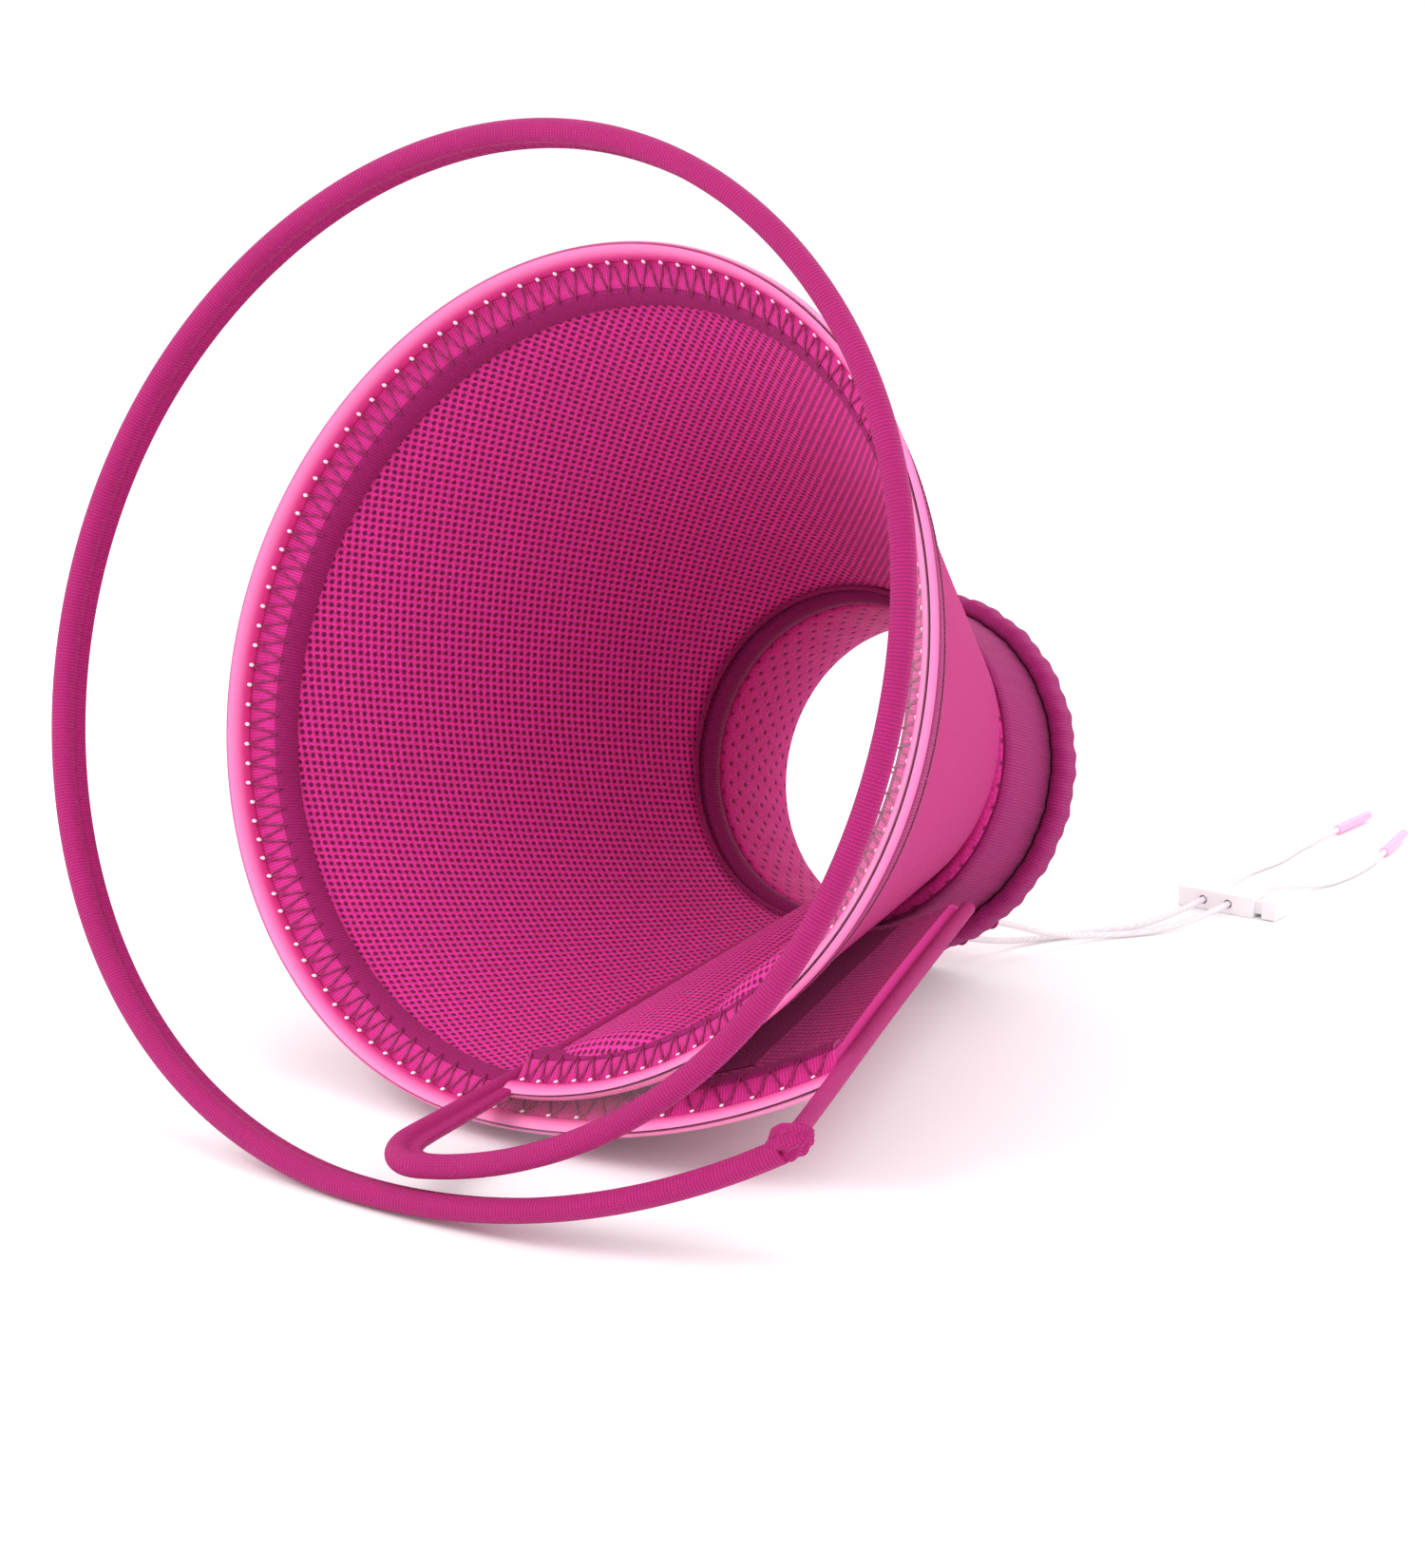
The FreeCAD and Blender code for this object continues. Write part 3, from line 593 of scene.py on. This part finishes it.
def moulded(name, colour, rough=.35):
    """Moulded plastic: an even gloss broken by a fine grain and faint swirls."""
    shader = Shader(name, rough, Coat_Weight=.15, Coat_Roughness=.2)
    grain = shader.noise(shader.place(), 1800, 2)
    cloud = shader.noise(shader.place(), 60, 2)
    tone = shader.mix(shader.ramp(cloud, .35, .7, 0, .5), colour, shade(colour, .90))
    rough_map = shader.ramp(grain, .3, .7, rough - .05, rough + .1)
    return shader.finish(tone, grain, .12, .0002, rough_map)


def spring_steel(name):
    """Drawn steel wire: bright, with fine lines."""
    shader = Shader(name, .3, Metallic=1.0)
    lines = shader.noise(shader.place(), 900, 2, (1, 1, 8))
    return shader.finish(shader.mix(lines, (.42, .42, .43), (.66, .66, .68)), lines, .2, .0002)


def hooks(name, colour):
    """Hook or loop strip: a dense field of tiny bristles."""
    shader = Shader(name, .88, Sheen_Weight=.15, Specular_IOR_Level=.15)
    where = shader.uv()
    bristle = shader.noise(where, 1100, 4)
    tone = shader.mix(shader.ramp(bristle, .35, .65), shade(colour, .45), shade(colour, 1.3))
    return shader.finish(tone, bristle, .9, .0010)


def tape(which):
    colour = tuple(getattr(colours(), which))
    return kept(f"{which}_tape", lambda name: ribbed_tape(name, colour))


def sewing_thread(name):
    """Thread in the seams' colour, under its own name."""
    return kept(name, lambda label: twisted(label, tuple(colours().thread)))


# ---------------------------------------------------------------- the pieces

def rim_profile(shrink=1.0):
    """The rim tape in section: a round tube closing to a flat flange of two layers towards the wall."""
    radius = sizes().rim_radius * shrink
    angle = np.radians(np.linspace(22, 338, 22))
    round_part = np.stack((radius * np.cos(angle), radius * np.sin(angle)), -1)
    low = [(.0060, -.00150), (.0085, -.00138), (.0092, -.00090), (.0094, 0.0)]
    high = [(.0092, .00090), (.0085, .00138), (.0060, .00150)]
    return np.concatenate((round_part, np.array(low), np.array(high)))


def stitch_line(name, turns, along, out, material, length=.0024):
    """A row of straight stitches: small rounded grains laid end to end round the wall."""
    up, round_way, down = facing(turns, along)
    centres = wall(turns, along, out)
    return seeds(name, centres, round_way, down, up, (length / 2, .00028, .00030), material)


def even_turns(start, end, along, pitch):
    """Turns spaced by one pitch of length at that slant distance."""
    radius = sizes().mouth_radius - along * math.sin(sizes().half_angle)
    return np.linspace(start, end, int(math.radians(abs(end - start)) * radius / pitch))


class CollarOperator:
    bl_options = {"REGISTER", "UNDO"}


class COLLAR_OT_rim(CollarOperator, bpy.types.Operator):
    """Ribbed rim tape of the fixed wall, with its stitched flange"""
    bl_idname = "collar.rim"
    bl_label = "Rim"

    def execute(self, context):
        turns = main_turns(.8)
        rim = band("rim_tape", turns, rim_profile(), tape("rim"))
        settle(rim, "collar", "rim_binding", "rim_binding", "rim_core")
        row_turns = even_turns(turns[0] + 1, MAIN_END - .5, FLANGE_ROW, sizes().stitch_pitch)
        thread = sewing_thread("stitch_thread")
        for side, out in (("inner", -FLANGE_HALF), ("outer", FLANGE_HALF)):
            row = stitch_line(f"rim_stitches_{side}", row_turns, FLANGE_ROW, out, thread)
            settle(row, "collar", "dark_binding")
        return {"FINISHED"}


def flap_path(steps=90, corner=.022, overhang=.0039):
    """The flap's edge as turns and slants: along the rim, round a corner, then up the flap's free edge."""
    s = sizes()
    end = math.degrees(s.flap_turn)
    rim_radius = s.mouth_radius - s.spiral_shift
    per_degree = math.radians(1) * rim_radius
    last = end + math.degrees(overhang / rim_radius) - corner / per_degree
    first = np.linspace(MAIN_END, last, steps)
    bend = np.linspace(0, math.pi / 2, 22)[1:]
    slants = np.linspace(corner, .2985, 100)[1:]
    radius = rim_radius - slants * math.sin(s.half_angle)
    rounded = last + corner / per_degree * np.sin(bend)
    turns = np.concatenate((first, rounded, end + np.degrees(overhang / radius)))
    alongs = np.concatenate((np.zeros(steps), corner * (1 - np.cos(bend)), slants))
    return turns, alongs


class COLLAR_OT_flap_edge(CollarOperator, bpy.types.Operator):
    """Ribbed tape round the flap: along its rim, round its corner and up its free edge to the neck"""
    bl_idname = "collar.flap_edge"
    bl_label = "Flap edge"

    def execute(self, context):
        turns, alongs = flap_path()
        share = np.clip((alongs - .02) / .06, 0, 1)
        path = wall(turns, alongs, -.0004 * share)
        normal = wall(turns, alongs, .002) - path
        share = share[:, None, None]
        section = rim_profile()[None] * (1 - share) + rim_profile(.80)[None] * np.array((.86, 1.0)) * share
        edge = tube("flap_edge_tape", path, normal, section, tape("rim"))
        settle(edge, "fold", "rim_binding", "flap_rim_binding", "flap_rim_core", "flap_edge_binding")
        row_turns = even_turns(MAIN_END, 168, FLANGE_ROW, sizes().stitch_pitch)
        row = stitch_line("flap_rim_stitches", row_turns, FLANGE_ROW, -FLANGE_HALF,
                          sewing_thread("stitch_thread"))
        settle(row, "fold", "dark_binding")
        return {"FINISHED"}


class COLLAR_OT_film(CollarOperator, bpy.types.Operator):
    """Clear visor film between the rim and the padded wall"""
    bl_idname = "collar.film"
    bl_label = "Clear film"

    def execute(self, context):
        start, end, half = .0080, sizes().film_end + .010, .00035
        profile = layer(np.linspace(start, end, 12), -half, half)
        for where, carrier, turns in stretches(1.2, 1.0):
            film = band(f"{where}visor_film", turns, profile, kept("clear_film", clear_sheet))
            settle(film, carrier, "film", f"{where}film")
            film.visible_shadow = False
            cloth(turns, start, end)
        return {"FINISHED"}


def crown(start, end, low, high, count=9, edge=.25):
    """A rolled strip in section: flat at low and arched to high, by the sine of the share across it."""
    share = np.linspace(0, 1, count)
    at_end = np.where((share == 0) | (share == 1), .35, 1)
    arch = low + (high - low) * (edge + (1 - edge) * np.sin(share * math.pi)) * at_end
    top = np.stack((start + (end - start) * share, arch), -1)
    bottom = np.stack((start + (end - start) * share[::-1], share * 0 + low), -1)
    return np.concatenate((top, bottom[1:-1]))


def welt_uv(turns, profile):
    """Length along the welt, and the share across it from the seam to its outer edge."""
    share = (.081 - closed(profile[:, 0])) / .009
    length = np.radians(turns)[:, None] * .165
    return np.stack(np.broadcast_arrays(length, share[None]), -1)


class COLLAR_OT_welts(CollarOperator, bpy.types.Operator):
    """Satin welts over the film's seam, one inside and one outside"""
    bl_idname = "collar.welts"
    bl_label = "Satin welts"

    def execute(self, context):
        seam = sizes().film_end
        for side, sign in (("inner", -1), ("outer", 1)):
            profile = crown(seam - .0008, seam + .0092, sign * .00036, sign * .0030)
            for where, carrier, turns in stretches():
                points = wall(turns[:, None], profile[None, :, 0], profile[None, :, 1])
                welt = add_mesh(f"{where}{side}_satin_welt", points, kept("satin_welt", satin),
                                welt_uv(turns, profile))
                settle(welt, carrier, "welt", f"{where}{side}_welt")
        return {"FINISHED"}


def seam_height(along):
    """How far inside the film's middle the stitched seam lies: over the welt, down the step, over the
    tape."""
    return np.interp(along, (.078, .081, .0835, .087, .0892, .0905),
                     (-.0030, -.0030, -.0042, -.0074, -.0082, -.0093))


def zigzag(name, start, end, material):
    """The overlock seam: one thread that runs to and fro across the step, and a small near-white grain at
    each outer bite, a painted glint."""
    s = sizes()
    radius = s.mouth_radius - .085 * math.sin(s.half_angle)
    count = int(math.radians(end - start) * radius / (s.zigzag_pitch / 2))
    steps = np.arange(count * 6 + 1) / 6
    saw = np.abs((steps % 2) - 1)
    rng = np.random.default_rng(4)
    reach = rng.uniform(-.0005, .0005, count + 2)
    along = .0790 + .0112 * saw + np.interp(steps, np.arange(count + 2), reach)
    skew = np.interp(steps, np.arange(count + 2), rng.uniform(-.12, .12, count + 2))
    turns = start + (steps + skew) / count * (end - start)
    path = wall(turns, along, seam_height(along) - .0003)
    normal = wall(turns, along, -.01) - wall(turns, along)
    thread = tube(name, path, normal, circle(.00046, 6, .8), material)
    glint_bites = np.arange(1, count, 2)
    at = start + glint_bites / count * (end - start)
    slant = .0786 + reach[glint_bites]
    up, round_way, down = facing(at, slant)
    # Painted glint: near-white grains at the outer bites stand in for glints of light on the seam.
    glint = kept("bite_bead", lambda label: moulded(label, (.98, .80, .90), .3))
    centres = wall(at, slant, -.0034)
    glints = seeds(f"{name}_bites", centres, round_way, down, up, (.00085, .0012, .0005), glint, 8, 6)
    return thread, glints


def chain_stitch(name, turns, material, along=.0945, out=.0031):
    """Two rows of stitches side by side, leaning to each other like a chain's links."""
    up, round_way, down = facing(turns, along)
    for number, (shift, slope) in enumerate(((-.0006, -.5), (.0006, .5))):
        tilt = unit(round_way + down * slope)
        yield seeds(f"{name}_{number}", wall(turns, along + shift, out), tilt, np.cross(up, tilt), up,
                    (.0014, .0004, .0004), material)


class COLLAR_OT_seam_tapes(CollarOperator, bpy.types.Operator):
    """Dark ribbed tapes over the pad's edge, with the zigzag seam inside and a chain stitch outside"""
    bl_idname = "collar.seam_tapes"
    bl_label = "Seam tapes"

    def execute(self, context):
        step_section = (
            (.0812, -.0006), (.0812, -.0018), (.0835, -.0036), (.0870, -.0070), (.0900, -.0078),
            (.0950, -.0079), (.0982, -.0077), (.0992, -.0068), (.0980, -.0062), (.0885, -.0058),
            (.0870, -.0006),
        )
        rolled_section = (
            (.0892, -.0070), (.0894, -.0082), (.0905, -.0090), (.0945, -.0092), (.0985, -.0089),
            (.0996, -.0081), (.0996, -.0068),
        )
        outer_section = (
            (.0802, .0016), (.0810, .0026), (.0860, .0029), (.0950, .0028), (.0972, .0024), (.0978, .0016),
        )
        dark, thread = tape("binding"), sewing_thread("seam_thread")
        for where, carrier, turns in stretches():
            step = band(f"{where}pad_edge_step", turns, step_section, tape("step"))
            rolled = band(f"{where}pad_edge_tape", turns, rolled_section, dark)
            outer = band(f"{where}outer_edge_tape", turns, outer_section, dark)
            sewn = zigzag(f"{where}zigzag_seam", turns[0] + .4, turns[-1] - .2, thread)
            chain_turns = even_turns(turns[0] + .5, turns[-1] - .5, .0945, .0022)
            chain = chain_stitch(f"{where}chain_stitch", chain_turns, thread)
            settle(step, carrier, "dark_binding", f"{where}pad_edge_binding")
            settle(outer, carrier, "dark_binding", f"{where}outer_edge_binding")
            for piece in (rolled, *sewn, *chain):
                settle(piece, carrier, "dark_binding")
        return {"FINISHED"}


class COLLAR_OT_padded_wall(CollarOperator, bpy.types.Operator):
    """Spacer mesh lining over the foam wall, and the knit cover outside it"""
    bl_idname = "collar.padded_wall"
    bl_label = "Padded wall"

    def execute(self, context):
        s = sizes()
        mesh = kept("spacer_mesh", spacer_mesh)
        cover = kept("knit_cover", lambda name: knit(name, tuple(colours().cover)))
        share = np.linspace(0, 1, 46)
        slants = .0875 + (s.pad_end + .004 - .0875) * share
        plump = -.0063 - .0010 * np.sin(share * math.pi) ** .6 + .0035 * np.clip((share - .965) / .035, 0, 1)
        section = layer(slants, plump, .0003)
        lining = band("mesh_wall", main_turns(), section, mesh, pattern=True)
        side_turns = np.linspace(MAIN_END, math.degrees(s.fold_turn) - .3, 26)
        side = band("mesh_wall_side", side_turns, section, mesh, pattern=True)
        for piece, nodes in ((lining, ("mesh_lining", "pad_foam")), (side, ())):
            settle(piece, "collar", "mesh", *nodes)
        start, end = .0815, .3105
        shell = layer(np.linspace(start, end, 40), .0007, .0016)
        for where, carrier, turns in stretches():
            outside = band(f"{where}knit_wall", turns, shell, cover, pattern=True)
            settle(outside, carrier, "cover", "flap_cover" if where else "outer_cover")
            cloth(turns, start, end)
        return {"FINISHED"}


def puffed_rib(name, start, end, nodes):
    """One stuffed rib of the flap: its height is the rib height times a flattened half sine across it,
    pinched at the seams and towards both ends, with shallow puckers beside the seam."""
    turns = np.linspace(start, end, 44)
    share = (turns - start) / (end - start)
    slants = np.linspace(.0885, .3010, 90)
    run = (slants - slants[0]) / (slants[-1] - slants[0])
    across = np.clip(np.sin(share * math.pi), 0, 1) ** .55
    ends = np.clip(np.minimum(run / .05, (1 - run) / .06), 0, 1) ** .5
    beside_seam = (1 - np.sin(share * math.pi))[:, None] ** 2
    pucker = 1 + .05 * np.sin(slants / .009 * math.tau)[None, :] * beside_seam
    height = -.0012 - .0128 * across[:, None] * (.35 + .65 * ends[None, :]) * pucker
    front = wall(turns[:, None], slants[None, :], height)
    back = wall(turns[:, None], slants[None, ::-1], .0003)
    slope = .35
    uv = flat_pattern(turns[:, None], closed(np.concatenate((slants, slants[::-1])))[None])
    uv = uv @ np.array(((math.cos(slope), math.sin(slope)), (-math.sin(slope), math.cos(slope))))
    rib = add_mesh(name, np.concatenate((front, back), 1), kept("spacer_mesh", spacer_mesh), uv)
    settle(rib, "flap", "mesh", *nodes)


class COLLAR_OT_ribs(CollarOperator, bpy.types.Operator):
    """The flap's two stuffed ribs, and the hook and loop strips that close it"""
    bl_idname = "collar.ribs"
    bl_label = "Flap ribs"

    def execute(self, context):
        start, end = math.degrees(sizes().fold_turn) + .4, math.degrees(sizes().flap_turn)
        puffed_rib("flap_rib_free", 148.3, end - .3, ("rib_1_foam", "rib_1_cover"))
        puffed_rib("flap_rib_fold", start, 147.9, ("rib_2_foam", "rib_2_cover"))
        for name, node, body, low, high, out in (
                ("loop_patch", "loop_strip", "collar", -205, -180.5, (-.0074, -.0062)),
                ("hook_patch", "hook_strip", "flap", 155, 172, (.0016, .0027))):
            bristles = kept(f"{name}_cloth", lambda label: hooks(label, (.34, .012, .13)))
            patch = band(name, np.linspace(low, high, 26), layer(np.linspace(.110, .285, 30), *out), bristles)
            settle(patch, body, "strip", node)
        return {"FINISHED"}


class COLLAR_OT_free_edge(CollarOperator, bpy.types.Operator):
    """Tape down the tail's free edge and the gathered bunch where the rim tape is turned in"""
    bl_idname = "collar.free_edge"
    bl_label = "Tail edge"

    def execute(self, context):
        s = sizes()
        end = -180 - math.degrees(s.tail_sweep)
        slants = np.linspace(.001, .300, 110)
        reach = np.degrees(.0030 / (s.mouth_radius + s.tail_shift * .9 - slants * .72))
        path = wall(end - reach, slants, -.0012)
        normal = wall(end - reach, slants, .002) - path
        edge = tube("tail_edge_tape", path, normal, circle(.0034, 14, .95), tape("rim"))
        settle(edge, "collar", "rim_binding", "tail_edge_binding")
        low, high = (np.array(corner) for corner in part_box("rim_end_tuck"))
        centre, half = (low + high) / 2, (high - low) / 2
        pole = np.linspace(.02, math.pi - .02, 34)[:, None]
        turn = (np.arange(56) / 56 * math.tau)[None, :]
        folds = 1 + .16 * np.sin(turn * 5 + pole * 3) * np.sin(pole) + .07 * np.sin(turn * 11 - pole * 5)
        x = np.cos(pole) * 1.35 * (1 + 0 * turn)
        y = np.sin(pole) * np.cos(turn) * folds * .80
        z = np.sin(pole) * np.sin(turn) * folds * .78
        c, n = math.cos(math.radians(33)), math.sin(math.radians(33))
        points = centre - np.array((.0095, 0, .0064)) + np.stack((x * c - z * n, y, x * n + z * c), -1) * half
        bunch = add_mesh("gathered_rim_end", points, tape("rim"))
        settle(bunch, "collar", "rim_binding", "rim_end_tuck")
        return {"FINISHED"}


def ring(name, axial, radial, material, start=-216.0, end=144.0, step=1.6, waves=None):
    """A section of (axial, radial) points turned about the cone's axis, with waves added to its radius. A
    whole turn is closed to a loop."""
    loop = end - start > 359
    turns = np.linspace(start, end, int((end - start) / step) + 1)
    if loop:
        turns = turns[:-1]
    angle = np.radians(turns)[:, None]
    axial, radial = np.asarray(axial, float)[None, :], np.asarray(radial, float)[None, :]
    radial = radial + (waves(turns[:, None], axial, radial) if waves else 0)
    points = np.stack(np.broadcast_arrays(radial * np.sin(angle), axial, radial * np.cos(angle)), -1)
    return add_mesh(name, laid(points), material, loop=loop)


def soft(turn, axial, radial):
    """Waves of the neck band's bore side: one crease at the top, and puckers that fade towards both hems."""
    crease = np.exp(-((turn - 14 - (axial - .30) * 260) / 2.2) ** 2) * .0022
    pucker = .00035 * np.sin(np.radians(turn) * 26) * np.sin((axial - .285) / .055 * math.pi)
    return np.where(radial < .0730, crease + pucker, 0)


def gathers(turn, axial, radial):
    """Waves of gathered cloth: two sines round the neck that grow outwards from the sleeve."""
    size = np.clip((radial - .0735) / .006, 0, 1)
    return (.00035 * np.sin(np.radians(turn) * 58) + .0003 * np.sin(np.radians(turn) * 23 + 1)) * size


class COLLAR_OT_neck(CollarOperator, bpy.types.Operator):
    """Neck roll, piping, the perforated padded neck band, its sleeve and the gathered drawstring channel"""
    bl_idname = "collar.neck"
    bl_label = "Neck"

    def execute(self, context):
        for where, carrier, turns in (("", "collar", np.linspace(-180, MAIN_END, 276)), stretches()[1]):
            roll = band(f"{where}neck_roll", turns, circle(.0050, 18) + (.306, -.0046), tape("roll"),
                        calm=True)
            piping = band(f"{where}neck_piping_line", turns, circle(.0010, 18) + (.2975, -.0074),
                          tape("thread"), calm=True)
            settle(roll, carrier, "dark_binding", f"{where}neck_binding")
            settle(piping, carrier, "dark_binding", *(() if where else ("neck_piping",)))
        # The padded band's bore side is plump between its two hems.
        share = np.linspace(0, 1, 22)
        axial = .2850 + .0550 * share
        plump = .0690 - .0032 * np.sin(share * math.pi) ** .55
        section = np.concatenate((axial, axial[::-1])), np.concatenate((plump, share * 0 + .0738))
        pad = ring("neck_band", *section, kept("neck_knit", perforated), waves=soft, step=1.0)
        settle(pad, "collar", "mesh", "neck_pad")
        dark = tape("binding")
        sleeve = ring("neck_sleeve_tape", (.2872, .3395, .3395, .293, .2872),
                      (.0741, .0741, .0756, .0758, .0752), dark, waves=gathers)
        settle(sleeve, "collar", "dark_binding", "neck_sleeve")
        hem = ring("neck_facing", (.2860, .2876, .2876, .2860), (.0600, .0600, .0738, .0738), dark, start=100,
                   end=178)
        settle(hem, "collar", "dark_binding")
        turn = np.arange(22) / 22 * math.tau
        square = (np.abs(np.cos(turn)) ** 3 + np.abs(np.sin(turn)) ** 3) ** (-1 / 3)
        channel = ring("gathered_channel", .3330 + .0068 * square * np.cos(turn),
                       .0794 + .0040 * square * np.sin(turn), dark, waves=gathers, step=.8)
        settle(channel, "collar", "dark_binding", "drawstring_channel", "drawstring_hidden")
        return {"FINISHED"}


def lock_coil(turns=6, radius=.0018, wire=.00035, inset=.0004):
    """The cord lock's spring: a wire along a helix about its solid's middle line, pressed short by the
    plunger."""
    low, high = (np.array(corner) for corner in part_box("lock_spring"))
    middle = (low + high) / 2
    steps = np.linspace(0, 1, 121)
    wind = steps * turns * math.tau
    outward = np.stack((wind * 0, np.cos(wind), np.sin(wind)), -1)
    helix = middle + outward * radius
    helix[:, 0] = low[0] + inset + (high[0] - low[0] - 2 * inset) * steps
    coil = tube("lock_coil_spring", helix, outward, circle(wire, 8), kept("lock_spring_steel", spring_steel))
    settle(coil, "plunger", "steel", "lock_spring")
    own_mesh(coil)
    return coil


class COLLAR_OT_drawstring(CollarOperator, bpy.types.Operator):
    """The drawstring's two free ends, their tips, the eyelets and the spring cord lock"""
    bl_idname = "collar.drawstring"
    bl_label = "Drawstring"

    def execute(self, context):
        nodes = frame["nodes"]
        gloss = kept("cord_tip_gloss", lambda name: moulded(name, tuple(colours().tip), .3))
        pale = kept("lock_plastic", lambda name: moulded(name, (.90, .86, .88), .35))
        ring_plastic = kept("eyelet_plastic", lambda name: moulded(name, tuple(colours().rim), .35))
        for node, finish in (("cord_tip_right", gloss), ("cord_tip_left", gloss), ("lock_housing", pale),
                             ("lock_plunger", pale), ("eyelet_left", ring_plastic),
                             ("eyelet_right", ring_plastic)):
            nodes[node].data.materials.clear()
            nodes[node].data.materials.append(finish)
        lock = [nodes["lock_housing"], nodes["lock_plunger"], lock_coil()]
        for side, route, length, on_cord in (("right", RIGHT_CORD, .2998, lock),
                                             ("left", LEFT_CORD, .3216, [])):
            curve = bpy.data.curves.new(f"drawstring_{side}", "CURVE")
            curve.dimensions = "3D"
            spline = curve.splines.new("NURBS")
            spline.points.add(len(route) - 1)
            spline.points.foreach_set("co", np.array([(*point, 1.0) for point in route]).ravel())
            spline.order_u = 3
            spline.use_endpoint_u = True
            spline.resolution_u = 16
            curve.bevel_depth = CORD_THICKNESS / 2
            curve.bevel_resolution = 5
            curve.use_fill_caps = True
            curve.materials.append(kept("braided_cord", braid))
            cord = bpy.data.objects.new(f"drawstring_{side}", curve)
            context.scene.collection.objects.link(cord)
            settle(cord, "collar", "cord", f"cord_{side}")
            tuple(route[0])
            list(on_cord)
        return {"FINISHED"}


class COLLAR_OT_stage(CollarOperator, bpy.types.Operator):
    """Pale floor, soft lights and the camera"""
    bl_idname = "collar.stage"
    bl_label = "Stage"

    def execute(self, context):
        scene = context.scene
        size = 80.0
        mesh = bpy.data.meshes.new("pale_floor")
        corners = [(-size, -size, 0), (size, -size, 0), (size, size, 0), (-size, size, 0)]
        mesh.from_pydata(corners, [], [(0, 1, 2, 3)])
        shader = Shader("floor_white", .9)
        mesh.materials.append(shader.finish((.97, .97, .97)))
        floor = bpy.data.objects.new("pale_floor", mesh)
        scene.collection.objects.link(floor)
        world = bpy.data.worlds.new("soft_white")
        scene.world = world
        world.use_nodes = True
        world.node_tree.nodes["Background"].inputs[0].default_value = (1, 1, 1, 1)
        world.node_tree.nodes["Background"].inputs[1].default_value = 1.06
        middle = np.array((0, 0, .16))
        for name, place, power, wide in (("key", (-.9, -1.3, 1.5), 19, 1.0), ("side", (1.5, -.4, 1.1), 8, .9),
                                         ("back", (.4, 1.6, 1.4), 9, 1.2)):
            lamp = bpy.data.lights.new(name, "AREA")
            lamp.energy = power
            lamp.size = wide
            light = bpy.data.objects.new(name, lamp)
            away = np.array(place) - middle
            light.location = place
            light.rotation_euler = (math.acos(away[2] / np.linalg.norm(away)), 0,
                                    math.atan2(away[1], away[0]) + math.pi / 2)
            scene.collection.objects.link(light)
        azimuth, elevation = math.radians(35.7), math.radians(14.7)
        forward = np.array((-math.sin(azimuth) * math.cos(elevation), math.cos(azimuth) * math.cos(elevation),
                            -math.sin(elevation)))
        right = np.array((math.cos(azimuth), math.sin(azimuth), 0.0))
        up = np.cross(right, forward)
        s = sizes()
        mouth = np.array((s.aside, s.ahead, s.height))
        camera = bpy.data.objects.new("camera", bpy.data.cameras.new("camera"))
        camera.location = mouth + .0956 * right - .0454 * up - 1.1044 * forward
        camera.rotation_euler = (math.pi / 2 - elevation, 0, azimuth)
        camera.data.lens = 69.8
        camera.data.sensor_width = 36
        scene.collection.objects.link(camera)
        scene.camera = camera
        scene.view_settings.view_transform = "Standard"
        return {"FINISHED"}


class COLLAR_PT_panel(bpy.types.Panel):
    """Collar sizes, colours and pieces"""
    bl_idname = "COLLAR_PT_panel"
    bl_label = "Recovery collar"
    bl_space_type = "VIEW_3D"
    bl_region_type = "UI"
    bl_category = "Collar"

    def draw(self, context):
        for group in (context.scene.collar_sizes, context.scene.collar_colours):
            for name in group.bl_rna.properties.keys():
                if name not in ("rna_type", "name"):
                    self.layout.prop(group, name)
        for operator in PIECES:
            self.layout.operator(operator.bl_idname)


PIECES = (COLLAR_OT_stage, COLLAR_OT_drawstring, COLLAR_OT_rim, COLLAR_OT_flap_edge, COLLAR_OT_film,
          COLLAR_OT_welts, COLLAR_OT_seam_tapes, COLLAR_OT_padded_wall, COLLAR_OT_ribs, COLLAR_OT_free_edge,
          COLLAR_OT_neck)
CLASSES = (CollarSizes, CollarColours, *PIECES, COLLAR_PT_panel)


def register():
    for item in CLASSES:
        bpy.utils.register_class(item)
    bpy.types.Scene.collar_sizes = bpy.props.PointerProperty(type=CollarSizes)
    bpy.types.Scene.collar_colours = bpy.props.PointerProperty(type=CollarColours)


def unregister():
    del bpy.types.Scene.collar_colours
    del bpy.types.Scene.collar_sizes
    for item in reversed(CLASSES):
        bpy.utils.unregister_class(item)


def main():
    register()
    for operator in PIECES:
        group, name = operator.bl_idname.split(".")
        getattr(getattr(bpy.ops, group), name)()
    bpy.context.view_layer.update()


if __name__ == "__main__":
    main()
